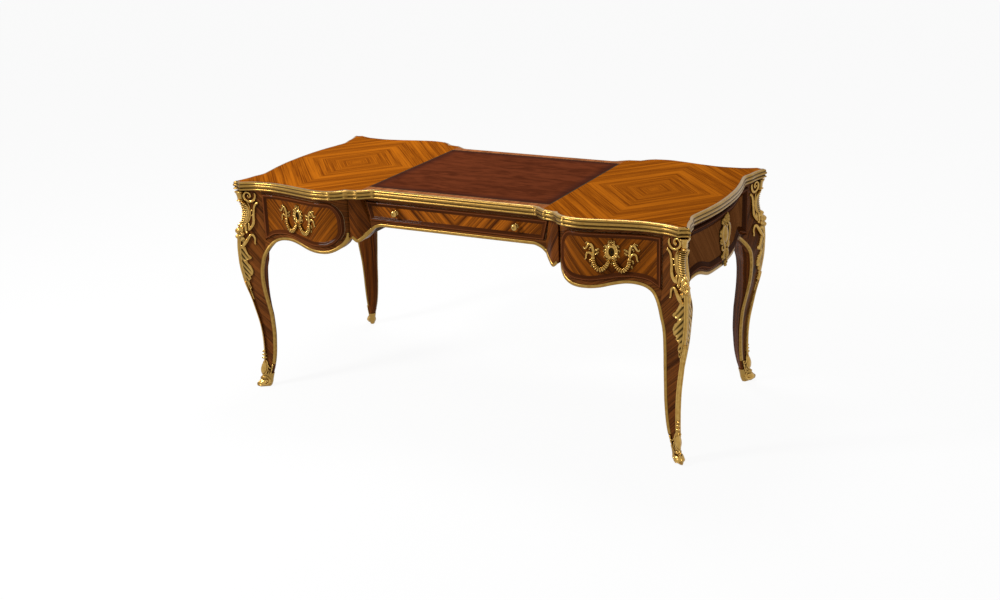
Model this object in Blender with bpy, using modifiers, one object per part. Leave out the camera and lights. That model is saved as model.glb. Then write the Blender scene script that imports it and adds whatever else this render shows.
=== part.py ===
"""Writing table on cabriole legs, with a leather top, three drawers and gilt-bronze mounts.

The table stands on the floor at z = 0, with its length along X and its front towards -Y.
Sizes are in metres. Curves of the frieze and legs are written as knots: a share of the way along the
piece, and a distance in metres.
"""
import math

import bmesh
import bpy
import numpy as np
from mathutils import Matrix, Vector

# Fits
GAP = 0.0003  # between pieces that are glued, pinned or screwed together
DRAWER_GAP = 0.0008  # round a drawer front in its opening

# Table
HEIGHT = 0.780
TOP_THICKNESS = 0.030
FOOT_X = 0.8055  # middle of a foot, from the middle of the table
FOOT_Y = 0.3665
OVERHANG = 0.021  # of the top beyond the frieze

# Leather and edge moulding
LEATHER_LENGTH = 0.676
LEATHER_DEPTH = 0.583
LEATHER_THICKNESS = 0.002
EDGE_DEPTH = 0.012
EDGE_SWELL = 0.003  # of the leaf clasps at the breaks of the front
EDGE_CLASP = 0.030  # half the length of a clasp
CANT_FRONT = (0.0065, 0.0365)  # front end of a canted corner, from the middle of the foot
CANT_SIDE = (0.0345, 0.0195)
CORNER_FLARE = 1.6  # how late the outline swings out to a corner

# Legs
LEG_INSET = 0.064  # from the middle of the foot to the joint with a frieze
LEG_FACE = 0.0075  # frieze face behind the middle of the foot
SPRING_DROP = 0.250  # from the underside of the top to where the leg leaves the frieze
SABOT_HEIGHT = 0.088
SABOT_FLOOR = 0.006
LEG_STEPS = 12
SIDE_STEPS = 20
PILASTER_STEPS = 6

# Frieze
CENTRE_SETBACK = 0.050  # centre of the front behind the end blocks' faces
BREAK_X = 0.391  # inner end of an end block
BREAK_GAP = 0.0035  # shadow line between an end block and its pilaster
SLANT_FOOT_X = 0.3295  # inner side of a pilaster, at its foot
SLANT_HEAD_X = 0.3535
SLANT_DROP = 0.098
RAIL_DROP = 0.013  # top rail above the drawer openings
APRON_BACK = 0.035  # thickness of an end block where it meets the leg
CENTRE_THICKNESS = 0.022
PILASTER_THICKNESS = 0.030
BACK_THICKNESS = 0.054  # back frieze where it meets the leg
SIDE_THICKNESS = 0.030  # side frieze where it meets the leg
PARTITION_THICKNESS = 0.018
STRIP_WIDTH = 0.010
STRIP_THICKNESS = 0.0022
STRIP_SEAT = 0.0005  # between a strip and the curved face under it
STRIP_REACH = 2.2  # most that a steep strip rises, in widths

# Drawer openings
END_STILE = 0.013
END_TIP_LOW = 0.110  # straight part of an end opening's round end, as drops from the underside
END_TIP_HIGH = 0.085
END_ROUND_LOW = 0.076
END_ROUND_HIGH = 0.048
CENTRE_STILE = 0.006
CENTRE_OPENING_DROP = 0.085

# Drawer boxes
BOX_SIDE = 0.011
BOX_BACK = 0.010
BOX_BOTTOM = 0.006
BOX_GROOVE = 0.005
BOX_LIP = 0.004  # drawer side below its bottom panel
BACK_CUT = 0.006  # drawer back below the sides' top edge
END_BOX_INNER = 0.014  # inner side of an end drawer, from the tip of its opening
END_BOX_OUTER = 0.0105  # outer side, from the leg
END_BOX_LOW = 0.142  # as drops from the underside
END_BOX_HIGH = 0.044
END_BOX_LENGTH = 0.520
CENTRE_BOX_EDGE = 0.0065  # side of the centre drawer, from the foot of its slanted end
CENTRE_BOX_LOW = 0.0775
CENTRE_BOX_HIGH = 0.024
CENTRE_BOX_LENGTH = 0.420
RUNNER_THICKNESS = 0.012
RUNNER_BEARING = 0.020  # of a drawer on its runner

# Locks
LOCK_WIDTH = 0.048
LOCK_HEIGHT = 0.046
LOCK_DEPTH = 0.0125
BOLT_WIDTH = 0.018
BOLT_DEPTH = 0.006
BOLT_HEIGHT = 0.024
BOLT_TRAVEL = 0.009
BOLT_SLIDE = 0.0005  # clearance of a bolt in its case
KEYHOLE_RADIUS = 0.0028
KEYHOLE_SLOT = (0.0028, 0.008)

# Pulls, knobs and cartouches
PULL_SHARE = 0.548  # place of a pull along its end block
PULL_DROP = 0.075  # middle of its escutcheon below the underside of the top
ESCUTCHEON = (0.019, 0.030)  # half width and half height
ESCUTCHEON_THICKNESS = 0.007
GARLAND_RADIUS = 0.0058
KNOB_X = 0.2255
KNOB_DROP = 0.047
KNOB_RADIUS = 0.0115
KNOB_LENGTH = 0.022
KNOB_FACETS = 14
CARTOUCHE_DROP = 0.208
CARTOUCHE_HEIGHT = 0.196
CARTOUCHE_HALF_WIDTH = 0.034
CARTOUCHE_THICKNESS = 0.012
CARTOUCHE_EASE = 0.0025  # room beside the border's ridge, which curves under it
CARTOUCHE_CROWN = 0.55  # width of its highest part, as a share of its whole width

# Levels and planes that follow from the sizes above
UNDERSIDE = HEIGHT - TOP_THICKNESS
FRIEZE_TOP = UNDERSIDE - GAP
SPRING = UNDERSIDE - SPRING_DROP
JOINT_X = FOOT_X - LEG_INSET
JOINT_Y = FOOT_Y - LEG_INSET
FACE_X = FOOT_X - LEG_FACE
FACE_Y = FOOT_Y - LEG_FACE
CENTRE_Y = FACE_Y - CENTRE_SETBACK
PILASTER_X = BREAK_X - BREAK_GAP
RAIL_LOW = UNDERSIDE - RAIL_DROP
APRON_BACK_Y = FACE_Y - APRON_BACK
CENTRE_BACK_Y = CENTRE_Y - CENTRE_THICKNESS
PARTITION_X = PILASTER_X - 0.5 * PARTITION_THICKNESS
PULL_X = BREAK_X + PULL_SHARE * (JOINT_X - BREAK_X)

# Knots of the front: share of an end block from its inner end to the leg, distance proud of the leg joint
END_PLAN = ((0, -0.027), (0.031, -0.007), (0.097, 0.015), (0.183, 0.027), (0.2825, 0.031),
            (0.454, 0.021), (0.653, 0.005), (0.853, -0.004), (1, 0))
END_TURN = 0.26  # part of an end block with close facets, at its round inner end
END_SPANDREL = (0.967, 0.985)  # extra facets where the lower edge turns down into the leg
END_EDGE_TIP = 0.125  # drop to the start of the block's rounded lower corner
END_EDGE_ROUND = 0.089
END_EDGE = ((0.254, 0.1955), (0.331, 0.1955), (0.434, 0.192), (0.542, 0.182), (0.70, 0.173),
            (0.79, 0.176), (0.896, 0.190), (0.967, 0.220), (1, SPRING_DROP))
END_OPENING = ((0.254, 0.173), (0.34, 0.174), (0.482, 0.167), (0.625, 0.158), (0.725, 0.155),
               (0.81, 0.157), (0.893, 0.163), (1, 0.184))
# Share of the way from the middle to the pilaster's outer side, drop of the centre's lower edge
CENTRE_EDGE = ((0, 0.101), (0.735, 0.101), (0.803, 0.109), (0.852, 0.125), (0.890, 0.142),
               (0.947, 0.157), (1, 0.142))
# Share of a pilaster from its inner to its outer side, distance proud of the centre
PILASTER_PLAN = ((0, 0), (0.27, 0.0145), (0.61, 0.0295), (1, 0.037))
# Knots of the sides: share of the way from the middle to a leg
SIDE_PLAN = ((0, 0.018), (0.25, 0.0155), (0.53, 0.006), (0.73, -0.005), (0.86, -0.0105), (1, 0))
SIDE_EDGE = ((0, 0.202), (0.2, 0.199), (0.40, 0.197), (0.66, 0.176), (0.83, 0.184), (0.94, 0.216),
             (1, SPRING_DROP))
SIDE_PANEL = ((0, 0.188), (0.2, 0.185), (0.40, 0.183), (0.66, 0.162), (0.80, 0.168), (1, 0.190))
# Knots of a leg: 0 is the floor, 1 where it leaves the frieze and 2 the underside of the top
LEG_ARRIS = ((0, 0.004), (0.10, -0.003), (0.20, -0.0105), (0.27, -0.0135), (0.35, -0.014), (0.42, -0.0125),
             (0.48, -0.0093), (0.54, -0.004), (0.60, 0.0025), (0.676, 0.011), (0.834, 0.033), (0.988, 0.043),
             (1.124, 0.0435), (1.272, 0.041), (1.416, 0.034), (1.556, 0.020), (1.70, 0.014), (2, 0.018))
LEG_INNER = ((0, 0.018), (0.08, 0.0285), (0.16, 0.041), (0.24, 0.0495), (0.32, 0.054), (0.44, 0.0575), (0.54, 0.0575),
             (0.64, 0.0555), (0.74, 0.0525), (0.84, 0.0515), (0.92, 0.055), (1, LEG_INSET), (2, LEG_INSET))
LEG_PLANE = ((0, -0.009), (0.08, -0.0135), (0.16, -0.016), (0.28, -0.0175), (0.40, -0.0176), (0.48, -0.016),
             (0.56, -0.0125), (0.64, -0.005), (0.72, 0.003), (0.80, 0.0095), (0.86, 0.012), (0.92, 0.0085),
             (1, -LEG_FACE), (2, -LEG_FACE))
LEG_RETURN = ((0, 0.007), (0.36, 0.009), (0.60, 0.011), (0.77, 0.023), (0.88, 0.030), (1, 0.030), (2, 0.030))
# Corner mount on the leg's own scale: width on each face, thickness over the arris
MOUNT_WIDTH = ((0, 0.0095), (0.70, 0.0095), (0.80, 0.015), (0.95, 0.026), (1.08, 0.032), (1.2, 0.036),
               (1.28, 0.034), (1.4, 0.038), (1.52, 0.034), (1.62, 0.027), (1.72, 0.032), (1.84, 0.044),
               (1.95, 0.034))
MOUNT_THICKNESS = ((0, 0.0032), (0.70, 0.0032), (0.80, 0.0045), (0.95, 0.006), (1.08, 0.007), (1.2, 0.0065),
                   (1.28, 0.0075), (1.4, 0.015), (1.52, 0.011), (1.62, 0.0075), (1.72, 0.010),
                   (1.84, 0.018), (1.95, 0.021))
MOUNT_HEAD = 1.95
DIAGONAL = np.array([1, 1]) / math.sqrt(2)  # out over the arris of a leg
MOUNT_EDGE = 0.35  # thickness at the sides of a mount, as a share of that over the arris
# Border mouldings: distance in from the outline, height above the face
DRAWER_BORDER = ((0, 0.0035), (0.005, 0.0065), (0.012, 0.0025), (0.0145, 0.001))
SIDE_BORDER = ((0, 0.004), (0.008, 0.0085), (0.020, 0.005), (0.025, 0.001))
# Edge moulding of the top: distance in from the outline, height above the underside
EDGE_PROFILE = ((EDGE_DEPTH, 0), (0.003, 0), (0.001, 0.005), (0.0045, 0.010), (0, 0.016), (0.0015, 0.022),
                (0.006, 0.028), (EDGE_DEPTH, TOP_THICKNESS))
# Sabot: height, distance of the wall's outside from the leg, extra reach of the toe
SABOT_SHAPE = ((0, 0.004, 0.012), (0.007, 0.005, 0.020), (0.016, 0.005, 0.022), (0.026, 0.0045, 0.014),
               (0.045, 0.0035, 0.005), (0.066, 0.004, 0.004), (SABOT_HEIGHT, 0.0031, 0.002))
# Pull: half of a garland from the escutcheon's foot to its leafy end, from the escutcheon's middle
GARLAND = ((0.010, -0.026), (0.018, -0.050), (0.032, -0.060), (0.047, -0.050), (0.056, -0.030),
           (0.066, -0.010), (0.080, 0.010), (0.088, 0.004))
GARLAND_SWELL = (0.8, 1.0, 1.15, 1.1, 1.0, 1.3, 1.0, 0.6)
# Escutcheon: distance in from its rim, share of its thickness
ESCUTCHEON_RELIEF = ((0, 0.4), (0.003, 1), (0.007, 0.6))
# Knob: share of its radius, share of its length
KNOB_PROFILE = ((0, 1), (0.55, 0.97), (0.9, 0.82), (1, 0.66), (0.9, 0.50), (0.5, 0.38), (0.42, 0.25),
                (0.62, 0.12), (0.7, 0), (0, 0))
# Cartouche: share of its height, share of its half width
CARTOUCHE_WIDTH = ((0, 0.2), (0.06, 0.36), (0.1, 0.42), (0.15, 0.36), (0.2, 0.3), (0.3, 0.55), (0.4, 0.75),
                   (0.5, 0.9), (0.6, 0.97), (0.7, 1), (0.8, 0.84), (0.88, 0.6), (1, 0.18))


def smooth(knots, at):
    """Read a smooth curve through the knots that never overshoots between two of them."""
    x, y = np.array(knots, float).T
    step = np.diff(x)
    slope = np.diff(y) / step
    same_way = slope[:-1] * slope[1:] > 0
    total = np.where(same_way, slope[:-1] + slope[1:], 1.0)
    inside = np.where(same_way, 2 * slope[:-1] * slope[1:] / total, 0)
    tangent = np.concatenate([slope[:1], inside, slope[-1:]])
    i = np.clip(np.searchsorted(x, at) - 1, 0, len(step) - 1)
    t = (np.asarray(at, float) - x[i]) / step[i]
    return (y[i] * (1 + 2 * t) * (1 - t) ** 2 + y[i + 1] * t * t * (3 - 2 * t)
            + step[i] * (tangent[i] * t * (1 - t) ** 2 + tangent[i + 1] * t * t * (t - 1)))


def quarter(at, tip, end, tip_height, end_height):
    """Height on a quarter ellipse that stands upright at its tip and lies level at its end."""
    share = np.clip((end - at) / (end - tip), 0, 1)
    return tip_height + (end_height - tip_height) * np.sqrt(1 - share ** 2)


def stations(tip, turn, end, turn_steps, run_steps):
    """Places along a piece, close together where it turns round at its tip."""
    angle = np.linspace(0, math.pi / 2, turn_steps + 1)
    run = np.linspace(tip + turn, end, run_steps + 1)[1:]
    return np.concatenate([tip + turn * (1 - np.cos(angle)), run])


def offset_loop(points, distance):
    """Move each corner of a closed outline, drawn anticlockwise, inwards by the distance."""
    along = np.roll(points, -1, axis=0) - points
    along /= np.linalg.norm(along, axis=1)[:, None]
    inward = np.stack([-along[:, 1], along[:, 0]], axis=1)
    before = np.roll(inward, 1, axis=0)
    reach = np.broadcast_to(distance, len(points)) / (1 + np.sum(inward * before, axis=1))
    return points + (inward + before) * reach[:, None]


# Lines of the frieze and the leg, as the short straight facets that every piece on them shares
END_X = np.concatenate([stations(BREAK_X, END_TURN * (JOINT_X - BREAK_X), JOINT_X, 6, 9),
                        BREAK_X + np.array(END_SPANDREL) * (JOINT_X - BREAK_X)])
END_X.sort()
END_LINE = FACE_Y + smooth(END_PLAN, (END_X - BREAK_X) / (JOINT_X - BREAK_X))
CENTRE_TURN_X = np.linspace(CENTRE_EDGE[1][0] * PILASTER_X, SLANT_FOOT_X, 5)
PILASTER_LINE_X = np.linspace(SLANT_FOOT_X, PILASTER_X, PILASTER_STEPS + 1)
PILASTER_LINE = CENTRE_Y + smooth(PILASTER_PLAN, np.linspace(0, 1, PILASTER_STEPS + 1))
SIDE_Y = np.linspace(-JOINT_Y, JOINT_Y, SIDE_STEPS + 1)
SIDE_LINE = FACE_X + smooth(SIDE_PLAN, np.abs(SIDE_Y) / JOINT_Y)
LEG_SCALE = np.concatenate([np.linspace(0, 1, LEG_STEPS + 1), np.linspace(1, 2, 9)[1:]])
LEG_Z = np.interp(LEG_SCALE, (0, 1, 2), (0, SPRING, UNDERSIDE))


def end_depth(x):
    return np.interp(x, END_X, END_LINE)


def centre_depth(x):
    return np.interp(np.abs(x), PILASTER_LINE_X, PILASTER_LINE)


def side_depth(y):
    return np.interp(y, SIDE_Y, SIDE_LINE)


def end_edge(x):
    """Lower edge of an end block: a rounded inner corner, then a lobe and an arch up to the leg."""
    share = (x - BREAK_X) / (JOINT_X - BREAK_X)
    start, drop = END_EDGE[0]
    corner = quarter(x, BREAK_X, BREAK_X + END_EDGE_ROUND, UNDERSIDE - END_EDGE_TIP, UNDERSIDE - drop)
    return np.where(share < start, corner, UNDERSIDE - smooth(END_EDGE, np.maximum(share, start)))


def centre_edge(x):
    return UNDERSIDE - smooth(CENTRE_EDGE, np.abs(x) / PILASTER_X)


def side_edge(y):
    return UNDERSIDE - smooth(SIDE_EDGE, np.abs(y) / JOINT_Y)


def slant(x):
    """Height of a pilaster's slanted inner side."""
    rise = SLANT_DROP / (SLANT_HEAD_X - SLANT_FOOT_X)
    return np.minimum(UNDERSIDE - SLANT_DROP + (x - SLANT_FOOT_X) * rise, FRIEZE_TOP)


def leg_at(height):
    """Section of the leg at a height: arris, front inner edge and its return, then the side's, in order."""
    scale = np.interp(height, LEG_Z, LEG_SCALE)
    arris, inner, plane, depth = (float(np.interp(scale, LEG_SCALE, smooth(knots, LEG_SCALE)))
                                  for knots in (LEG_ARRIS, LEG_INNER, LEG_PLANE, LEG_RETURN))
    hidden = plane - depth
    corners = (arris * DIAGONAL, (-inner, plane), (-inner, hidden), (hidden, -inner), (plane, -inner))
    return np.array(corners) + (FOOT_X, FOOT_Y)


def heights(low, high):
    """The two heights and the leg's own levels between them."""
    return [low] + [z for z in LEG_Z if low + GAP < z < high - GAP] + [high]


def face_depth(across, height):
    """Depth of the front face at a place on the end block, or past the joint on the leg."""
    if across <= JOINT_X and height >= SPRING:
        return float(end_depth(across))
    arris, inner = leg_at(height)[:2]
    return inner[1] + (arris[1] - inner[1]) * (across - inner[0]) / (arris[0] - inner[0])


def side_face_depth(across, height):
    """Depth of the side face at a place on the side frieze or on either leg."""
    if abs(across) <= JOINT_Y and height >= SPRING:
        return float(side_depth(across))
    section = leg_at(height)
    arris, inner = section[0], section[4]
    return inner[0] + (arris[0] - inner[0]) * (abs(across) - inner[1]) / (arris[1] - inner[1])


for old in list(bpy.data.objects):
    bpy.data.objects.remove(old, do_unlink=True)
PARTS = bpy.data.collections.new("writing_table")
CUTTERS = bpy.data.collections.new("cutters")
bpy.context.scene.collection.children.link(PARTS)
bpy.context.scene.collection.children.link(CUTTERS)


def finish(name, colour, roughness, metallic=0.0):
    """A plain material with the piece's colour."""
    material = bpy.data.materials.new(name)
    material.use_nodes = True
    shader = material.node_tree.nodes["Principled BSDF"]
    shader.inputs["Base Color"].default_value = (*colour, 1)
    shader.inputs["Roughness"].default_value = roughness
    shader.inputs["Metallic"].default_value = metallic
    return material


VENEER = finish("frieze_veneer", (0.19, 0.07, 0.022), 0.25)
TOP_VENEER = finish("top_veneer", (0.34, 0.13, 0.03), 0.28)
LEATHER = finish("red_brown_leather", (0.10, 0.022, 0.012), 0.45)
GILT = finish("gilt_bronze", (0.72, 0.50, 0.18), 0.28, 1.0)
LINING = finish("drawer_lining", (0.42, 0.27, 0.14), 0.6)
STEEL = finish("lock_steel", (0.45, 0.43, 0.40), 0.4, 1.0)


def fold_inwards(mesh):
    """Split each twisted facet along its deeper diagonal, so that no piece swells into its neighbour."""
    for face in list(mesh.faces):
        if len(face.verts) != 4:
            continue
        corners = list(face.verts)
        a, b, c, d = (vert.co for vert in corners)
        twist = (a + c - b - d).dot(face.normal)
        if abs(twist) > GAP / 10:
            bmesh.utils.face_split(face, *(corners[0::2] if twist < 0 else corners[1::2]))


def add_mesh(name, mesh, material, location=(0, 0, 0)):
    """Turn a bmesh into an object of the table."""
    data = bpy.data.meshes.new(name)
    bmesh.ops.recalc_face_normals(mesh, faces=mesh.faces)
    fold_inwards(mesh)
    mesh.to_mesh(data)
    mesh.free()
    data.materials.append(material)
    item = bpy.data.objects.new(name, data)
    item.location = location
    PARTS.objects.link(item)
    return item


def loft(name, sections, material):
    """Join sections of equal length into one solid, with a cap at each end."""
    mesh = bmesh.new()
    rings = [[mesh.verts.new(corner) for corner in section] for section in sections]
    for ring, following in zip(rings, rings[1:]):
        for i in range(len(ring)):
            j = (i + 1) % len(ring)
            mesh.faces.new((ring[i], ring[j], following[j], following[i]))
    mesh.faces.new(rings[0])
    mesh.faces.new(rings[-1])
    return add_mesh(name, mesh, material)


def box(name, low, high, material):
    """A board between two corners, with its origin in its middle."""
    low, high = np.minimum(low, high), np.maximum(low, high)
    mesh = bmesh.new()
    bmesh.ops.create_cube(mesh, size=1, matrix=Matrix.Diagonal((*(high - low), 1)))
    return add_mesh(name, mesh, material, (low + high) / 2)


def moulded_panel(name, outline, depth, back, border, place, material):
    """A board with a curved face and a raised border.

    The outline runs along the lower edge and back along the upper one, with as many points on each.
    Each border step is the outline moved inwards and raised from the face.
    """
    half = len(outline) // 2
    mesh = bmesh.new()

    def ring(points, out):
        return [mesh.verts.new(place(x, d, z)) for (x, z), d in zip(points, out)]

    def ladder(loop):
        for i in range(half - 1):
            mesh.faces.new((loop[i], loop[i + 1], loop[-2 - i], loop[-1 - i]))

    rings = [ring(outline, np.full(len(outline), back))]
    for inset, raised in border:
        points = offset_loop(outline, inset)
        rings.append(ring(points, depth(points[:, 0]) + raised))
    for loop, following in zip(rings, rings[1:]):
        for i in range(len(loop)):
            j = (i + 1) % len(loop)
            mesh.faces.new((loop[i], loop[j], following[j], following[i]))
    ladder(rings[0])
    ladder(rings[-1])
    return add_mesh(name, mesh, material)


def tool(item):
    """Move an object out of the table, to be used in a Boolean."""
    PARTS.objects.unlink(item)
    CUTTERS.objects.link(item)
    item.hide_render = True
    item.display_type = "WIRE"
    return item


def combine(item, other, operation):
    """Cut the item with another object, or join that object to it."""
    step = item.modifiers.new(f"{operation.lower()}_{other.name}", "BOOLEAN")
    step.operation = operation
    step.object = other
    return item


def slide(name, place):
    """An empty that carries the pieces of a moving part."""
    empty = bpy.data.objects.new(name, None)
    empty.location = place
    PARTS.objects.link(empty)
    return empty


def carry(empty, items):
    """Hang pieces on an empty and leave them where they are."""
    for item in items:
        item.parent = empty
        item.matrix_parent_inverse = Matrix.Translation(-Vector(empty.location))


def front_place(side, facing):
    """Places on the front, or on the back when facing is -1, mirrored to the left when side is -1."""
    return lambda across, depth, height: (side * across, -facing * depth, height)


def side_place(side):
    return lambda across, depth, height: (side * depth, across, height)


# Top outline, anticlockwise from the left end of the front


def front_outline():
    """Half of the front edge of the top, from the middle to the canted corner."""
    search = np.linspace(BREAK_X, BREAK_X + 0.05 * (JOINT_X - BREAK_X), 200)
    reach = PILASTER_LINE[-1]
    cusp = search[np.argmax(end_depth(search) >= reach)]
    pilaster = np.stack([PILASTER_LINE_X, PILASTER_LINE + OVERHANG], 1)
    block_x = END_X[END_X > cusp + 2 * GAP]
    block = np.stack([block_x, end_depth(block_x) + OVERHANG], 1)
    turn = np.array([[cusp, reach + OVERHANG]])
    t = np.linspace(0, 1, 6)[1:, None]
    start = np.array([JOINT_X, FACE_Y + OVERHANG])
    end = np.array([FOOT_X + CANT_FRONT[0], FOOT_Y + CANT_FRONT[1]])
    corner = start + (end - start) * np.concatenate([t, t ** CORNER_FLARE], 1)
    return np.concatenate([pilaster, turn, block, corner]), cusp


def side_outline():
    """The right edge of the top, from the front canted corner to the back one."""
    line = np.stack([SIDE_LINE + OVERHANG, SIDE_Y], 1)
    t = np.linspace(0, 1, 6)[1:, None]
    start = line[-1]
    end = np.array([FOOT_X + CANT_SIDE[0], FOOT_Y + CANT_SIDE[1]])
    corner = start + (end - start) * np.concatenate([t ** CORNER_FLARE, t], 1)
    return np.concatenate([corner[::-1] * (1, -1), line, corner])


HALF_FRONT, CUSP_X = front_outline()
RIGHT_EDGE = side_outline()
FRONT_EDGE = np.concatenate([HALF_FRONT[::-1] * (-1, -1), HALF_FRONT * (1, -1)])
OUTLINE = np.concatenate([FRONT_EDGE, RIGHT_EDGE, -FRONT_EDGE, -RIGHT_EDGE])


def make_top():
    """Top panel with its recess, and the leather that lies in it."""
    outline = offset_loop(OUTLINE, EDGE_DEPTH + GAP)
    flat = bpy.data.curves.new("top_outline", "CURVE")
    flat.dimensions = "2D"
    flat.fill_mode = "BOTH"
    flat.extrude = TOP_THICKNESS / 2
    spline = flat.splines.new("POLY")
    spline.points.add(len(outline) - 1)
    for point, (x, y) in zip(spline.points, outline):
        point.co = (x, y, 0, 1)
    spline.use_cyclic_u = True
    sheet = bpy.data.objects.new("top_outline", flat)
    sheet.location.z = UNDERSIDE + TOP_THICKNESS / 2
    PARTS.objects.link(sheet)
    bpy.context.view_layer.update()
    data = bpy.data.meshes.new_from_object(sheet.evaluated_get(bpy.context.evaluated_depsgraph_get()))
    mesh = bmesh.new()
    mesh.from_mesh(data)
    bmesh.ops.remove_doubles(mesh, verts=mesh.verts, dist=1e-5)
    panel = add_mesh("top_panel", mesh, TOP_VENEER, sheet.location)
    bpy.data.objects.remove(sheet)
    half = np.array([LEATHER_LENGTH / 2, LEATHER_DEPTH / 2, 0])
    bed = np.array([0, 0, HEIGHT - LEATHER_THICKNESS])
    box("leather_inset", bed - half + (0, 0, GAP), half + (0, 0, HEIGHT), LEATHER)
    rim = np.array([GAP, GAP, 0])
    above = half + rim + (0, 0, HEIGHT + TOP_THICKNESS)
    combine(panel, tool(box("leather_recess", bed - half - rim, above, TOP_VENEER)), "DIFFERENCE")


def make_edge_mouldings():
    """Four lengths of reeded moulding round the top, mitred where they meet."""
    clasp = np.clip(1 - np.abs(np.abs(OUTLINE[:, 0]) - CUSP_X) / EDGE_CLASP, 0, 1)
    loops = []
    for inset, height in EDGE_PROFILE:
        swell = EDGE_SWELL * np.sqrt(clasp) if inset < EDGE_DEPTH else 0
        loop = offset_loop(OUTLINE, inset - swell)
        loops.append(np.column_stack([loop, np.full(len(loop), UNDERSIDE + height)]))
    sections = np.stack(loops, 1)
    front, side = len(FRONT_EDGE), len(RIGHT_EDGE)
    starts = {"front": 0, "right": front - 1, "back": front + side, "left": 2 * front + side - 1}
    for name, start in starts.items():
        count = front if name in ("front", "back") else side + 2
        run = sections[(start + np.arange(count)) % len(sections)].copy()
        if count == front:
            run[0] -= np.sign(run[0]) * (GAP, 0, 0)
            run[-1] -= np.sign(run[-1]) * (GAP, 0, 0)
        loft(f"edge_moulding_{name}", run, GILT)


def make_leg(name, sx, sy):
    """One cabriole leg with its sabot and corner mount."""
    def corner(points, height):
        return [(sx * x, sy * y, height) for x, y in points]

    levels = heights(SABOT_FLOOR + GAP, FRIEZE_TOP)
    loft(f"leg_{name}", [corner(leg_at(z), z) for z in levels], VENEER)

    outside = []
    for z, reach, toe in SABOT_SHAPE:
        ring = offset_loop(leg_at(z), -reach)
        ring[0] += toe * DIAGONAL
        outside.append(corner(ring, z))
    levels = heights(SABOT_FLOOR, SABOT_HEIGHT)
    inside = [corner(offset_loop(leg_at(z), -GAP), z) for z in reversed(levels)]
    loft(f"sabot_{name}", outside + inside, GILT)

    foot = float(np.interp(SABOT_HEIGHT + 2 * GAP, LEG_Z, LEG_SCALE))
    between = [k for k, _ in MOUNT_WIDTH if foot < k < MOUNT_HEAD]
    scale = np.unique(np.round(np.concatenate([LEG_SCALE, between, [foot, MOUNT_HEAD]]), 6))
    sections = []
    for k in scale[(scale >= foot) & (scale <= MOUNT_HEAD)]:
        z = float(np.interp(k, LEG_SCALE, LEG_Z))
        width, thickness = float(smooth(MOUNT_WIDTH, k)), float(smooth(MOUNT_THICKNESS, k))
        arris, front, _, _, side = leg_at(z)
        along_front = (front - arris) / np.linalg.norm(front - arris)
        along_side = (side - arris) / np.linalg.norm(side - arris)
        out_front = np.array([-along_front[1], along_front[0]])
        out_front *= np.sign(out_front[1])
        out_side = np.array([-along_side[1], along_side[0]])
        out_side *= np.sign(out_side[0])
        outward = (out_front + out_side) / (1 + out_front @ out_side)
        lip = GAP + MOUNT_EDGE * thickness
        sections.append(corner((arris + along_front * width + out_front * GAP, arris + outward * GAP,
                                arris + along_side * width + out_side * GAP,
                                arris + along_side * width + out_side * lip,
                                arris + outward * GAP + thickness * DIAGONAL,
                                arris + along_front * width + out_front * lip), z))
    loft(f"corner_mount_{name}", sections, GILT)


def make_strip(name, lines, depth, place):
    """A flat gilt strip on a face, between two lines."""
    sections = []
    for pair in lines:
        bed = [(x, depth(x, z) + STRIP_SEAT, z) for x, z in pair]
        face = [(x, d + STRIP_THICKNESS, z) for x, d, z in reversed(bed)]
        sections.append([place(*corner) for corner in bed + face])
    loft(name, sections, GILT)


def leg_strip(middle):
    """The two lines of a strip up the inner edge of a leg, level by level."""
    levels = np.array(heights(SABOT_HEIGHT + 2 * GAP, SPRING))
    edge = np.array([leg_at(z)[1][0] for z in levels]) - FOOT_X + middle
    return np.stack([np.stack([edge, levels], 1), np.stack([edge + STRIP_WIDTH, levels], 1)], 1)


def apron_strip(across, edge):
    """The two lines of a strip on an apron, one straight above the other so that facets match the face."""
    rise = STRIP_WIDTH * np.minimum(np.hypot(1, np.gradient(edge, across)), STRIP_REACH)
    return np.stack([np.stack([across, edge], 1), np.stack([across, edge + rise], 1)], 1)


def make_strips():
    """Strips up the inner edges of the legs and along the aprons."""
    apron_x = END_X[END_X < JOINT_X - GAP][::-1]
    end_lines = np.concatenate([leg_strip(FOOT_X), apron_strip(apron_x, end_edge(apron_x))])
    turn_x = np.concatenate([CENTRE_TURN_X, PILASTER_LINE_X[1:]])
    centre_x = np.concatenate([turn_x[::-1], -turn_x])
    centre_lines = apron_strip(centre_x, centre_edge(centre_x))
    side_y = SIDE_Y[1:-1][::-1]
    side_leg = leg_strip(FOOT_Y)
    side_run = apron_strip(side_y, side_edge(side_y))
    side_lines = np.concatenate([side_leg, side_run, side_leg[::-1] * (-1, 1)])
    for row, facing in (("front", 1), ("back", -1)):
        for side_name, side in (("left", -1), ("right", 1)):
            make_strip(f"edge_strip_{row}_{side_name}", end_lines, face_depth, front_place(side, facing))
        make_strip(f"edge_strip_{row}_center", centre_lines, lambda x, z: float(centre_depth(x)),
                   front_place(1, facing))
    for side_name, side in (("left", -1), ("right", 1)):
        make_strip(f"edge_strip_side_{side_name}", side_lines, side_face_depth, side_place(side))


def board(name, xs, low, high, depth, back, place, material):
    """A board with a curved face and shaped edges, drawn along its length."""
    rows = zip(xs, *(np.broadcast_to(line, len(xs)) for line in (low, high, depth, back)))
    sections = [(place(x, d, a), place(x, d, b), place(x, c, b), place(x, c, a)) for x, a, b, d, c in rows]
    return loft(name, sections, material)


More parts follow.
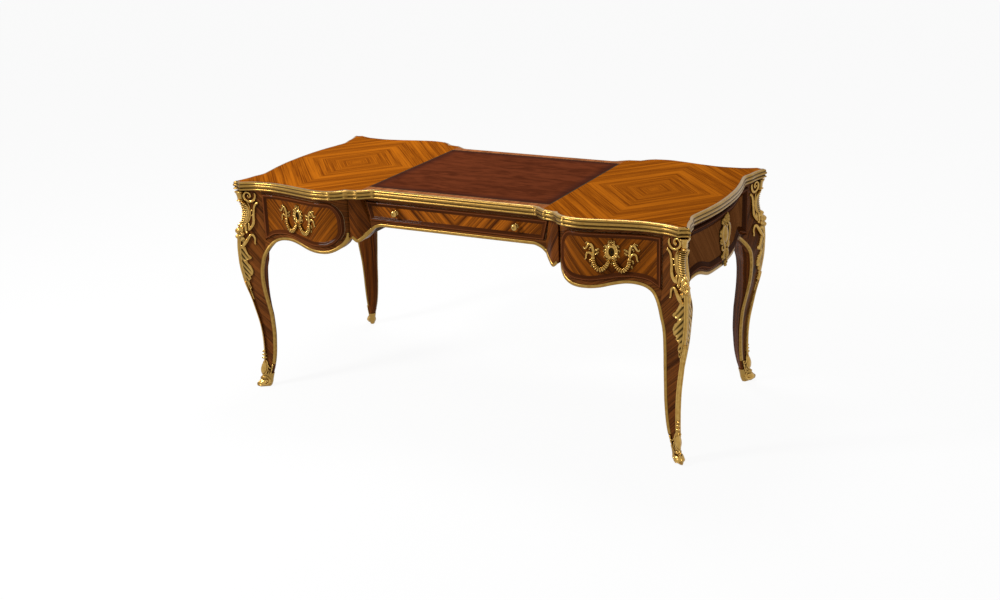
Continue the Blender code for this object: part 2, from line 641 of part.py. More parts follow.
def opening_outline():
    """An end drawer's opening: a lobe with a round inner end and a pointed corner at the leg."""
    tip = BREAK_X + END_STILE
    length = JOINT_X - BREAK_X
    run_end = BREAK_X + END_OPENING[-2][0] * length
    xs = np.append(stations(tip, END_ROUND_LOW, run_end, 6, 7), JOINT_X)
    share = (xs - BREAK_X) / length
    lobe = UNDERSIDE - END_OPENING[0][1]
    corner = quarter(xs, tip, tip + END_ROUND_LOW, UNDERSIDE - END_TIP_LOW, lobe)
    run = UNDERSIDE - smooth(END_OPENING, np.maximum(share, END_OPENING[0][0]))
    low = np.where(xs < tip + END_ROUND_LOW, corner, run)
    high = quarter(xs, tip, tip + END_ROUND_HIGH, UNDERSIDE - END_TIP_HIGH, RAIL_LOW)
    return np.concatenate([np.stack([xs, low], 1), np.stack([xs, high], 1)[::-1]])


def centre_outline():
    """The centre drawer's opening, between the pilasters' slanted sides."""
    low, high = UNDERSIDE - CENTRE_OPENING_DROP, RAIL_LOW
    lean = (SLANT_HEAD_X - SLANT_FOOT_X) / SLANT_DROP
    low_x, high_x = (SLANT_FOOT_X + (z - UNDERSIDE + SLANT_DROP) * lean - CENTRE_STILE for z in (low, high))
    return np.array([(-low_x, low), (low_x, low), (high_x, high), (-high_x, high)])


OPENING = opening_outline()
CENTRE_OPENING = centre_outline()


def prism(name, outline, near, far, place):
    """A cutter with the outline of an opening, from one depth to another."""
    return tool(loft(name, [[place(x, d, z) for x, z in outline] for d in (near, far)], VENEER))


def make_front():
    """End aprons and the centre frame, each with its drawer's opening."""
    past_leg = OPENING.copy()
    at_leg = len(OPENING) // 2
    for end, before in ((at_leg - 1, at_leg - 2), (at_leg, at_leg + 1)):
        run = OPENING[end] - OPENING[before]
        past_leg[end] += run * (END_STILE / run[0])
    for side_name, side in (("left", -1), ("right", 1)):
        place = front_place(side, 1)
        xs = np.append(END_X[:-1], JOINT_X - GAP)
        apron = board(f"front_apron_{side_name}", xs, end_edge(xs), FRIEZE_TOP, end_depth(xs), APRON_BACK_Y,
                      place, VENEER)
        reach = END_LINE.max() + OVERHANG
        combine(apron, prism(f"end_opening_{side_name}", past_leg, APRON_BACK_Y - OVERHANG, reach, place),
                "DIFFERENCE")
        half = np.array([BOLT_WIDTH / 2 + BOLT_SLIDE, BOLT_DEPTH / 2 + BOLT_SLIDE, 0])
        seat = np.array(bolt_middle(side))
        rise = RAIL_LOW - OVERHANG, RAIL_LOW + BOLT_TRAVEL + BOLT_SLIDE
        combine(apron, tool(box(f"bolt_mortise_{side_name}", seat - half + (0, 0, rise[0]),
                                seat + half + (0, 0, rise[1]), VENEER)), "DIFFERENCE")
    half_x = np.concatenate([CENTRE_TURN_X, [SLANT_FOOT_X + GAP, SLANT_HEAD_X - 4 * GAP]])
    xs = np.concatenate([-half_x[::-1], half_x])
    out = np.abs(xs)
    low = np.where(out > SLANT_FOOT_X, slant(out) + GAP, centre_edge(np.minimum(out, SLANT_FOOT_X)))
    place = front_place(1, 1)
    frame = board("front_apron_center", xs, low, FRIEZE_TOP, CENTRE_Y, CENTRE_BACK_Y, place, VENEER)
    near, far = CENTRE_BACK_Y - OVERHANG, CENTRE_Y + OVERHANG
    combine(frame, prism("center_opening", CENTRE_OPENING, near, far, place), "DIFFERENCE")


def make_partitions():
    """Partitions with a pilaster at the front and the drawers' runners along both sides."""
    end_run = UNDERSIDE - END_BOX_LOW - GAP
    centre_run = UNDERSIDE - CENTRE_BOX_LOW - GAP
    inner, outer = PARTITION_X - PARTITION_THICKNESS / 2, PARTITION_X + PARTITION_THICKNESS / 2
    end_reach = BREAK_X + END_STILE + END_BOX_INNER + RUNNER_BEARING
    centre_reach = SLANT_FOOT_X - CENTRE_BOX_EDGE - RUNNER_BEARING
    low = end_run - RUNNER_THICKNESS
    section = ((inner, low), (end_reach, low), (end_reach, end_run), (outer, end_run), (outer, FRIEZE_TOP),
               (inner, FRIEZE_TOP), (inner, centre_run), (centre_reach, centre_run),
               (centre_reach, centre_run - RUNNER_THICKNESS), (inner, centre_run - RUNNER_THICKNESS))
    half_depth = CENTRE_BACK_Y - GAP
    xs = np.concatenate([[SLANT_FOOT_X + 3 * GAP], PILASTER_LINE_X[1:]])
    head = np.where(xs < SLANT_HEAD_X, slant(xs - 3 * GAP), FRIEZE_TOP)
    for side_name, side in (("left", -1), ("right", 1)):
        place = front_place(side, 1)
        ends = [[place(x, y, z) for x, z in section] for y in (half_depth, -half_depth)]
        partition = loft(f"partition_{side_name}", ends, VENEER)
        pilaster = board(f"pilaster_{side_name}", xs, centre_edge(xs), head, centre_depth(xs),
                         CENTRE_Y - PILASTER_THICKNESS, place, VENEER)
        combine(partition, tool(pilaster), "UNION")


def make_back():
    """One glued-up back frieze with three sham drawers."""
    end_x = np.append(END_X[:-1], JOINT_X - GAP)
    half_x = np.concatenate([CENTRE_TURN_X, PILASTER_LINE_X[1:], end_x])
    on_block = half_x >= BREAK_X
    block_low = end_edge(np.maximum(half_x, BREAK_X))
    low = np.where(on_block, block_low, centre_edge(np.minimum(half_x, PILASTER_X)))
    depth = np.where(on_block, end_depth(half_x), centre_depth(half_x))
    back = np.where(on_block, FACE_Y - BACK_THICKNESS, CENTRE_BACK_Y)
    xs = np.concatenate([-half_x[::-1], half_x])
    low, depth, back = (np.concatenate([row[::-1], row]) for row in (low, depth, back))
    frieze = board("back_frieze", xs, low, FRIEZE_TOP, depth, back, front_place(1, -1), VENEER)
    inside = FACE_Y - BACK_THICKNESS / 2
    outline = offset_loop(OPENING, END_STILE / 2)
    for side_name, side in (("left", -1), ("right", 1)):
        sham = moulded_panel(f"sham_{side_name}", outline, end_depth, inside, DRAWER_BORDER,
                             front_place(side, -1), VENEER)
        combine(frieze, tool(sham), "UNION")
    sham = moulded_panel("sham_center", CENTRE_OPENING, lambda x: np.full(len(x), CENTRE_Y),
                         CENTRE_Y - CENTRE_THICKNESS / 2, DRAWER_BORDER, front_place(1, -1), VENEER)
    combine(frieze, tool(sham), "UNION")


def make_sides():
    """Side friezes with a raised border, and the end drawers' outer runner on their inner face."""
    ys = np.concatenate([[-JOINT_Y + GAP], SIDE_Y[1:-1], [JOINT_Y - GAP]])
    inner = FACE_X - SIDE_THICKNESS
    run = UNDERSIDE - END_BOX_LOW - GAP
    reach = JOINT_X - END_BOX_OUTER - RUNNER_BEARING
    ends = SIDE_PANEL[-2][0] * JOINT_Y
    panel_y = np.concatenate([[-JOINT_Y], np.linspace(-ends, ends, 17), [JOINT_Y]])
    panel_low = UNDERSIDE - smooth(SIDE_PANEL, np.abs(panel_y) / JOINT_Y)
    high = np.full(len(panel_y), RAIL_LOW)
    outline = np.concatenate([np.stack([panel_y, panel_low], 1), np.stack([panel_y, high], 1)[::-1]])
    outline = offset_loop(outline, STRIP_THICKNESS)
    for side_name, side in (("left", -1), ("right", 1)):
        place = side_place(side)
        sections = [(place(y, side_depth(y), side_edge(y)), place(y, side_depth(y), FRIEZE_TOP),
                     place(y, inner, FRIEZE_TOP), place(y, inner, run), place(y, reach, run),
                     place(y, reach, run - RUNNER_THICKNESS), place(y, inner, run - RUNNER_THICKNESS),
                     place(y, inner, min(float(side_edge(y)), run - RUNNER_THICKNESS - GAP))) for y in ys]
        frieze = loft(f"side_frieze_{side_name}", sections, VENEER)
        panel = moulded_panel(f"side_panel_{side_name}", outline, side_depth, FACE_X - SIDE_THICKNESS / 2,
                              SIDE_BORDER, place, VENEER)
        combine(frieze, tool(panel), "UNION")
        make_cartouche(f"side_cartouche_{side_name}", place, outline[:, 1].min(), outline[:, 1].max())


def make_cartouche(name, place, panel_low, panel_high):
    """A gilt shield over the middle of a side, bedded on its border, with a drop below the edge."""
    inset, raised = np.array(SIDE_BORDER).T
    inset += np.where(inset > inset[np.argmax(raised)], CARTOUCHE_EASE, 0)
    steps = np.concatenate([panel_low + inset, panel_high - inset[::-1]])
    relief = np.concatenate([raised, raised[::-1]])
    foot = UNDERSIDE - CARTOUCHE_DROP
    knots = foot + CARTOUCHE_HEIGHT * np.array(CARTOUCHE_WIDTH)[:, 0]
    levels = np.unique(np.clip(np.round(np.concatenate([knots, steps]), 5), knots[0], knots[-1]))
    shares = (levels - foot) / CARTOUCHE_HEIGHT
    width = CARTOUCHE_HALF_WIDTH * smooth(CARTOUCHE_WIDTH, shares)
    face = float(side_depth(0)) + GAP
    backs = face + np.interp(levels, steps, relief)
    fronts = face + raised.max() + CARTOUCHE_THICKNESS * np.sin(math.pi * (0.15 + 0.7 * shares))
    sections = [[place(-half, back, z), place(half, back, z), place(CARTOUCHE_CROWN * half, front, z),
                 place(-CARTOUCHE_CROWN * half, front, z)]
                for z, half, back, front in zip(levels, width, backs, fronts)]
    loft(name, sections, GILT)


def bolt_middle(side):
    return side * PULL_X, -(APRON_BACK_Y + LOCK_DEPTH / 2), 0


def drawer_box(name, edges, low, high, front, length):
    """Sides, back and bottom of a drawer. The bottom lies in grooves and runs under the back."""
    (left, right), back = edges, front - length
    floor = low + BOX_LIP
    panel = (np.array([left + BOX_SIDE - BOX_GROOVE + GAP, -front - BOX_GROOVE + 2 * GAP, floor]),
             np.array([right - BOX_SIDE + BOX_GROOVE - GAP, -back, floor + BOX_BOTTOM]))
    groove = tool(box(f"{name}_groove", panel[0] - GAP, panel[1] + GAP, LINING))
    start = -front + GAP
    items = [box(f"{name}_side_left", (left, start, low), (left + BOX_SIDE, -back, high), LINING),
             box(f"{name}_side_right", (right - BOX_SIDE, start, low), (right, -back, high), LINING)]
    for item in items:
        combine(item, groove, "DIFFERENCE")
    items.append(box(f"{name}_back", (left + BOX_SIDE + GAP, -back - BOX_BACK, floor + BOX_BOTTOM + GAP),
                     (right - BOX_SIDE - GAP, -back, high - BACK_CUT), LINING))
    items.append(box(f"{name}_bottom", *panel, LINING))
    return items, groove


def make_end_drawer(side_name, side):
    """An end drawer with its lobed front, lock and pull."""
    name = f"drawer_{side_name}"
    place = front_place(side, 1)
    front = moulded_panel(f"{name}_front", offset_loop(OPENING, DRAWER_GAP), end_depth, APRON_BACK_Y,
                          DRAWER_BORDER, place, VENEER)
    edges = sorted((side * (BREAK_X + END_STILE + END_BOX_INNER), side * (JOINT_X - END_BOX_OUTER)))
    items, groove = drawer_box(name, edges, UNDERSIDE - END_BOX_LOW, UNDERSIDE - END_BOX_HIGH, APRON_BACK_Y,
                               END_BOX_LENGTH)
    combine(front, groove, "DIFFERENCE")
    middle = np.array(bolt_middle(side))
    head = RAIL_LOW - 2 * DRAWER_GAP
    half = np.array([LOCK_WIDTH / 2, LOCK_DEPTH / 2, 0])
    top = middle + (0, 0, head)
    case = box(f"lock_case_{side_name}", top - half - (0, 0, LOCK_HEIGHT), top + half, STEEL)
    around = np.array([GAP, GAP, GAP])
    recess = box(f"lock_recess_{side_name}", top - half - around - (0, 0, LOCK_HEIGHT),
                 top + half + around + (0, LOCK_DEPTH, LOCK_HEIGHT), STEEL)
    combine(front, tool(recess), "DIFFERENCE")
    half = np.array([BOLT_WIDTH / 2, BOLT_DEPTH / 2, 0])
    bolt = box(f"lock_bolt_{side_name}", top - half - (0, 0, BOLT_HEIGHT), top + half, STEEL)
    room = np.array([BOLT_SLIDE, BOLT_SLIDE, GAP])
    slot = box(f"bolt_slot_{side_name}", top - half - room - (0, 0, BOLT_HEIGHT),
               top + half + room + (0, 0, BOLT_HEIGHT), STEEL)
    combine(case, tool(slot), "DIFFERENCE")
    pull, keyhole = make_pull(side_name, side)
    combine(front, keyhole, "DIFFERENCE")
    runner = slide(f"{name}_slide", (side * PULL_X, -APRON_BACK_Y, UNDERSIDE - END_BOX_LOW))
    carry(runner, [front, case, pull] + items)
    carry(slide(f"lock_bolt_{side_name}_slide", top), [bolt])


def tube(name, path, radii, place, material, sides=6):
    """A tapering bar along a path of places (across, depth, height)."""
    path = np.array(path, float)
    along = np.gradient(path, axis=0)
    along /= np.linalg.norm(along, axis=1)[:, None]
    forward = np.array([0.0, 1.0, 0.0])
    sideways = np.cross(along, forward)
    sideways /= np.linalg.norm(sideways, axis=1)[:, None]
    upward = np.cross(sideways, along)
    turn = np.linspace(0, 2 * math.pi, sides, endpoint=False)
    sections = [[place(*(p + r * (math.cos(a) * s + math.sin(a) * u))) for a in turn]
                for p, r, s, u in zip(path, radii, sideways, upward)]
    return loft(name, sections, material)


def make_pull(side_name, side):
    """A fixed pull: an oval escutcheon with a keyhole, and a garland hanging on each side of it."""
    place = front_place(side, 1)
    field = DRAWER_BORDER[-1][1] + GAP
    middle_z = UNDERSIDE - PULL_DROP
    turn = np.linspace(-math.pi, 0, 13)[1:-1]
    width, height = ESCUTCHEON
    low = np.stack([PULL_X + width * np.cos(turn), middle_z + height * np.sin(turn)], 1)
    oval = np.concatenate([low, (low * (1, -1) + (0, 2 * middle_z))[::-1]])
    base = float(end_depth(PULL_X)) + field
    tilt = (end_depth(PULL_X + width) - end_depth(PULL_X - width)) / (2 * width)
    border = [(inset, share * ESCUTCHEON_THICKNESS) for inset, share in ESCUTCHEON_RELIEF]

    def oval_place(across, depth, depth_z):
        return place(across, depth + tilt * (across - PULL_X), depth_z)

    pull = moulded_panel(f"drawer_pull_{side_name}", oval, lambda x: np.full(len(x), base), base + GAP,
                         border, oval_place, GILT)
    for half_name, half in (("inner", -1), ("outer", 1)):
        along = np.linspace(0, len(GARLAND) - 1, 2 * len(GARLAND) - 1)
        order = np.arange(len(GARLAND))
        dx = smooth(np.stack([order, [p[0] for p in GARLAND]], 1), along)
        dz = smooth(np.stack([order, [p[1] for p in GARLAND]], 1), along)
        radii = GARLAND_RADIUS * np.interp(along, order, GARLAND_SWELL)
        across = PULL_X + half * dx
        depth = end_depth(across) + field + radii + GAP
        path = np.stack([across, depth, middle_z + dz], 1)
        combine(pull, tool(tube(f"garland_{half_name}_{side_name}", path, radii, place, GILT)), "UNION")
    near, far = APRON_BACK_Y + LOCK_DEPTH - GAP, base + 2 * ESCUTCHEON_THICKNESS
    angle = np.linspace(0, 2 * math.pi, 10, endpoint=False)
    half_slot, slot_drop = KEYHOLE_SLOT[0] / 2, KEYHOLE_SLOT[1]
    keep = np.sin(angle) > -0.5
    rim = np.stack([KEYHOLE_RADIUS * np.cos(angle[keep]), KEYHOLE_RADIUS * np.sin(angle[keep])], 1)
    rim = rim[np.argsort(np.mod(np.arctan2(rim[:, 1], rim[:, 0]) + math.pi / 2, 2 * math.pi))]
    outline = np.concatenate([rim, [(-half_slot, -slot_drop), (half_slot, -slot_drop)]])
    keyhole = prism(f"keyhole_{side_name}", outline + (PULL_X, middle_z), near, far, place)
    combine(pull, keyhole, "DIFFERENCE")
    return pull, keyhole


def make_knob(name, x):
    """A turned knob on the centre drawer: a foot, a neck and a round head."""
    mesh = bmesh.new()
    points = [mesh.verts.new((KNOB_RADIUS * r, 0, KNOB_LENGTH * h)) for r, h in KNOB_PROFILE]
    for a, b in zip(points, points[1:]):
        mesh.edges.new((a, b))
    face = CENTRE_Y + DRAWER_BORDER[-1][1] + GAP
    knob = add_mesh(name, mesh, GILT, (x, -face, UNDERSIDE - KNOB_DROP))
    knob.rotation_euler.x = math.pi / 2
    turn = knob.modifiers.new("turn", "SCREW")
    turn.axis = "Z"
    turn.steps = KNOB_FACETS
    turn.render_steps = KNOB_FACETS
    turn.use_merge_vertices = True
    turn.merge_threshold = 0.00005
    return knob


def make_centre_drawer():
    """The shallow centre drawer with its two knobs."""
    outline = offset_loop(CENTRE_OPENING, DRAWER_GAP)
    front = moulded_panel("drawer_center_front", outline, lambda x: np.full(len(x), CENTRE_Y),
                          CENTRE_BACK_Y, DRAWER_BORDER, front_place(1, 1), VENEER)
    edge = SLANT_FOOT_X - CENTRE_BOX_EDGE
    low, high = UNDERSIDE - CENTRE_BOX_LOW, UNDERSIDE - CENTRE_BOX_HIGH
    items, groove = drawer_box("drawer_center", (-edge, edge), low, high, CENTRE_BACK_Y, CENTRE_BOX_LENGTH)
    combine(front, groove, "DIFFERENCE")
    knobs = [make_knob("drawer_knob_left", -KNOB_X), make_knob("drawer_knob_right", KNOB_X)]
    carry(slide("drawer_center_slide", (0, -CENTRE_BACK_Y, low)), [front] + items + knobs)


make_top()
make_edge_mouldings()
for row, sy in (("front", -1), ("back", 1)):
    for column, sx in (("left", -1), ("right", 1)):
        make_leg(f"{row}_{column}", sx, sy)
make_strips()
make_front()
make_partitions()
make_back()
make_sides()
make_end_drawer("left", -1)
make_end_drawer("right", 1)
make_centre_drawer()
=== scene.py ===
# %% [markdown]
# # A writing table with gilt mounts
# This lesson dresses a CAD table: every solid stays where the CAD put it, and each visible one is
# replaced by a finer surface that is worked out with numpy and stands in the same place.
# Sizes are in metres, the floor is z = 0, the length runs along X and the front looks towards -Y.

# %% Load the frame
import math

import bmesh
import bpy
import numpy as np
from mathutils import Matrix


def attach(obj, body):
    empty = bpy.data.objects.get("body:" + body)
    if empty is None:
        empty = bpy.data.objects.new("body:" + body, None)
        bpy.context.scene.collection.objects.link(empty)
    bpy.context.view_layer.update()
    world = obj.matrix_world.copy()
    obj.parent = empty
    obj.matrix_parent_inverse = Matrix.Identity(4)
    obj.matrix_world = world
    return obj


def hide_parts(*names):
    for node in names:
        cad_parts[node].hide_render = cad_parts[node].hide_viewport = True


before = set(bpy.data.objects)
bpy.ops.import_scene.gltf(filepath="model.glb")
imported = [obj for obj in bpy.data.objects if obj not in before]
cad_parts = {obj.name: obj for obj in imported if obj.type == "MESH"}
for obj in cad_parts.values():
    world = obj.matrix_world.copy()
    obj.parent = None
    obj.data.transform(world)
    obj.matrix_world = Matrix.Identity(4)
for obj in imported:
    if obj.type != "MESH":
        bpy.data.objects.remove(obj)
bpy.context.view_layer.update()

# %% [markdown]
# ## Sizes of the table
# A maker works from a rod, a full-size drawing that holds every line of the piece. These values are ours.
# They are the same lines as the solids have, so that a finer surface lies exactly on its solid.

# %% Levels and planes
GAP = 0.0003
DRAWER_GAP = 0.0008
HEIGHT = 0.780
TOP_THICKNESS = 0.030
FOOT_X = 0.8055
FOOT_Y = 0.3665
OVERHANG = 0.021
LEATHER_LENGTH = 0.676
LEATHER_DEPTH = 0.583
LEATHER_THICKNESS = 0.002
EDGE_DEPTH = 0.012
LEG_INSET = 0.064
LEG_FACE = 0.0075
SPRING_DROP = 0.250
SABOT_HEIGHT = 0.088
BREAK_X = 0.391
PILASTER_X = 0.3875
SLANT_FOOT_X = 0.3295
SLANT_HEAD_X = 0.3535
SLANT_DROP = 0.098
UNDERSIDE = HEIGHT - TOP_THICKNESS
FRIEZE_TOP = UNDERSIDE - GAP
SPRING = UNDERSIDE - SPRING_DROP
JOINT_X = FOOT_X - LEG_INSET
JOINT_Y = FOOT_Y - LEG_INSET
FACE_X = FOOT_X - LEG_FACE
FACE_Y = FOOT_Y - LEG_FACE
CENTRE_Y = FACE_Y - 0.050
RAIL_LOW = UNDERSIDE - 0.013
APRON_BACK_Y = FACE_Y - 0.035
CENTRE_BACK_Y = CENTRE_Y - 0.022
PULL_X = BREAK_X + 0.548 * (JOINT_X - BREAK_X)
SIDES = (("left", -1), ("right", 1))
CORNERS = [(f"{row}_{column}", sx, sy) for row, sy in (("front", -1), ("back", 1)) for column, sx in SIDES]
print("underside", UNDERSIDE, "leg joint", round(JOINT_X, 4), round(JOINT_Y, 4))

# %% [markdown]
# ## Curves through knots
# The bombé lines of the frieze and legs are drawn through a few measured points. A plain spline would
# overshoot between them and put ripples in the veneer, so the slopes at the knots are limited instead.

# %% A curve that never overshoots


def smooth(knots, at):
    """Cubic Hermite curve through (place, value) knots.

    The slope at an inner knot is the harmonic mean of the slopes on its two sides, or zero where these
    change sign. Places outside the knots take the end values.
    """
    x, y = np.array(knots, float).T
    step = np.diff(x)
    slope = np.diff(y) / step
    same_way = slope[:-1] * slope[1:] > 0
    total = np.where(same_way, slope[:-1] + slope[1:], 1.0)
    inside = np.where(same_way, 2 * slope[:-1] * slope[1:] / total, 0)
    tangent = np.concatenate([slope[:1], inside, slope[-1:]])
    at = np.clip(np.asarray(at, float), x[0], x[-1])
    i = np.clip(np.searchsorted(x, at) - 1, 0, len(step) - 1)
    t = (at - x[i]) / step[i]
    return (y[i] * (1 + 2 * t) * (1 - t) ** 2 + y[i + 1] * t * t * (3 - 2 * t)
            + step[i] * (tangent[i] * t * (1 - t) ** 2 + tangent[i + 1] * t * t * (t - 1)))


def quarter(at, tip, end, tip_height, end_height):
    """Quarter ellipse: upright at its tip, level at its end."""
    share = np.clip((end - at) / (end - tip), 0, 1)
    return tip_height + (end_height - tip_height) * np.sqrt(1 - share ** 2)


def from_tip(tip, turn, end, turn_steps, run_steps):
    """Places along a piece: turn * (1 - cos) close together at the tip, then even."""
    angle = np.linspace(0, math.pi / 2, turn_steps + 1)
    return np.concatenate([tip + turn * (1 - np.cos(angle)),
                           np.linspace(tip + turn, end, run_steps + 1)[1:]])


def inset_loop(points, distance):
    """Each corner of an anticlockwise outline moved inwards along its mitre by the distance."""
    along = np.roll(points, -1, axis=0) - points
    along /= np.linalg.norm(along, axis=1)[:, None]
    inward = np.stack([-along[:, 1], along[:, 0]], axis=1)
    before = np.roll(inward, 1, axis=0)
    reach = np.broadcast_to(distance, len(points)) / (1 + np.sum(inward * before, axis=1))
    return points + (inward + before) * reach[:, None]


# %% The lines of the front, side and leg
END_PLAN = ((0, -0.027), (0.031, -0.007), (0.097, 0.015), (0.183, 0.027), (0.2825, 0.031), (0.454, 0.021),
            (0.653, 0.005), (0.853, -0.004), (1, 0))
END_EDGE = ((0.254, 0.1955), (0.331, 0.1955), (0.434, 0.192), (0.542, 0.182), (0.70, 0.173), (0.79, 0.176),
            (0.896, 0.190), (0.967, 0.220), (1, SPRING_DROP))
END_OPENING = ((0.254, 0.173), (0.34, 0.174), (0.482, 0.167), (0.625, 0.158), (0.725, 0.155), (0.81, 0.157),
               (0.893, 0.163), (1, 0.184))
CENTRE_EDGE = ((0, 0.101), (0.735, 0.101), (0.803, 0.109), (0.852, 0.125), (0.890, 0.142), (0.947, 0.157),
               (1, 0.142))
PILASTER_PLAN = ((0, 0), (0.27, 0.0145), (0.61, 0.0295), (1, 0.037))
SIDE_PLAN = ((0, 0.018), (0.25, 0.0155), (0.53, 0.006), (0.73, -0.005), (0.86, -0.0105), (1, 0))
SIDE_EDGE = ((0, 0.202), (0.2, 0.199), (0.40, 0.197), (0.66, 0.176), (0.83, 0.184), (0.94, 0.216),
             (1, SPRING_DROP))
SIDE_PANEL = ((0, 0.188), (0.2, 0.185), (0.40, 0.183), (0.66, 0.162), (0.80, 0.168), (1, 0.190))
LEG_ARRIS = ((0, 0.004), (0.10, -0.003), (0.20, -0.0105), (0.27, -0.0135), (0.35, -0.014), (0.42, -0.0125),
             (0.48, -0.0093), (0.54, -0.004), (0.60, 0.0025), (0.676, 0.011), (0.834, 0.033), (0.988, 0.043),
             (1.124, 0.0435), (1.272, 0.041), (1.416, 0.034), (1.556, 0.020), (1.70, 0.014), (2, 0.018))
LEG_INNER = ((0, 0.018), (0.08, 0.0285), (0.16, 0.041), (0.24, 0.0495), (0.32, 0.054), (0.44, 0.0575),
             (0.54, 0.0575), (0.64, 0.0555), (0.74, 0.0525), (0.84, 0.0515), (0.92, 0.055), (1, LEG_INSET),
             (2, LEG_INSET))
LEG_PLANE = ((0, -0.009), (0.08, -0.0135), (0.16, -0.016), (0.28, -0.0175), (0.40, -0.0176), (0.48, -0.016),
             (0.56, -0.0125), (0.64, -0.005), (0.72, 0.003), (0.80, 0.0095), (0.88, 0.0130), (0.94, 0.0140),
             (1, 0.0130), (1.08, 0.0095), (1.16, 0.0035), (1.23, -0.003), (1.30, -LEG_FACE), (2, -LEG_FACE))
LEG_RETURN = ((0, 0.007), (0.36, 0.009), (0.60, 0.011), (0.77, 0.023), (0.88, 0.030), (1, 0.030), (2, 0.030))
DIAGONAL = np.array([1, 1]) / math.sqrt(2)
FLARE_REACH = 0.090


def block_share(x):
    return (x - BREAK_X) / (JOINT_X - BREAK_X)


def end_depth(x):
    return FACE_Y + smooth(END_PLAN, block_share(x))


def centre_depth(x):
    return CENTRE_Y + smooth(PILASTER_PLAN, (np.abs(x) - SLANT_FOOT_X) / (PILASTER_X - SLANT_FOOT_X))


def side_depth(y):
    return FACE_X + smooth(SIDE_PLAN, np.abs(y) / JOINT_Y)


def flare(to_joint, z):
    """How far a frieze swells forward beside a leg to meet its knee: full at the joint, none a hand away."""
    rise = leg_lines(z)[2] + LEG_FACE
    near = np.clip(1 - to_joint / FLARE_REACH, 0, 1)
    return rise * near * near * (3 - 2 * near)


def end_face(x, z):
    return end_depth(x) + flare(JOINT_X - np.abs(x), z)


def side_face(y, z):
    return side_depth(y) + flare(JOINT_Y - np.abs(y), z)


CORNER_RUN = 0.089
CORNER_DROP = 0.125


def end_edge(x):
    """Lower edge of an end block: a quarter ellipse at its round inner corner, then a lobe and an arch."""
    corner = quarter(x, BREAK_X, BREAK_X + CORNER_RUN, UNDERSIDE - CORNER_DROP, UNDERSIDE - END_EDGE[0][1])
    return np.where(block_share(x) < END_EDGE[0][0], corner, UNDERSIDE - smooth(END_EDGE, block_share(x)))


def centre_edge(x):
    return UNDERSIDE - smooth(CENTRE_EDGE, np.abs(x) / PILASTER_X)


def side_edge(y):
    return UNDERSIDE - smooth(SIDE_EDGE, np.abs(y) / JOINT_Y)


def leg_lines(z):
    """Arris, inner edge, face plane and return of a leg, measured from the middle of its foot."""
    scale = np.interp(z, (0, SPRING, UNDERSIDE), (0, 1, 2))
    return [smooth(knots, scale) for knots in (LEG_ARRIS, LEG_INNER, LEG_PLANE, LEG_RETURN)]


print("end block stands out by", round(float(end_depth(0.49) - FACE_Y), 4), "at its fullest")

# %% [markdown]
# ## From grids to meshes
# Every new piece is a set of grids: arrays of rows and columns of points, which meet edge to edge. They are
# put into one mesh, welded along their borders and turned to face outwards. A grid also carries its grain,
# that is a distance along and across the fibres, and how proud it stands, which paints highlight and shade on
# the gilding and on the crests of the mouldings.

# %% Grids, and the pieces made of them


def patch(points, grain=None, finish=0, proud=1.0):
    """One grid of points with the grain on it, the number of its finish, and 0 deep to 1 proud, the mask of
    painted shade and highlight.
    """
    size = points.shape[:2]
    grain = np.zeros((*size, 2)) if grain is None else grain
    return {"points": points, "grain": grain, "finish": finish, "proud": np.broadcast_to(proud, size)}


def laid(across, up, angle, board=0.0):
    """Distance along and across the fibres of a veneer laid at an angle, in degrees, on board number so."""
    c, s = math.cos(math.radians(angle)), math.sin(math.radians(angle))
    return np.stack([across * c + up * s + 3.7 * board, up * c - across * s + 1.3 * board], -1)


def chisel_out(piece, low, high, finish):
    """Take a box out of a piece, as a chisel cuts a mortise: the difference of the two, kept as a plain
    mesh.
    """
    block = bmesh.new()
    bmesh.ops.create_cube(block, size=1.0)
    bmesh.ops.scale(block, vec=np.subtract(high, low), verts=block.verts)
    bmesh.ops.translate(block, vec=np.add(high, low) / 2, verts=block.verts)
    for face in block.faces:
        face.material_index = finish
    solid = bpy.data.meshes.new("chisel")
    block.to_mesh(solid)
    block.free()
    chisel = bpy.data.objects.new("chisel", solid)
    bpy.context.scene.collection.objects.link(chisel)
    cut = piece.modifiers.new("mortise", "BOOLEAN")
    cut.operation, cut.solver, cut.object = "DIFFERENCE", "EXACT", chisel
    whole = piece.data
    shaped = bpy.data.meshes.new_from_object(piece.evaluated_get(bpy.context.evaluated_depsgraph_get()))
    piece.modifiers.clear()
    piece.data = shaped
    bpy.data.objects.remove(chisel)
    for mesh in (solid, whole):
        bpy.data.meshes.remove(mesh)


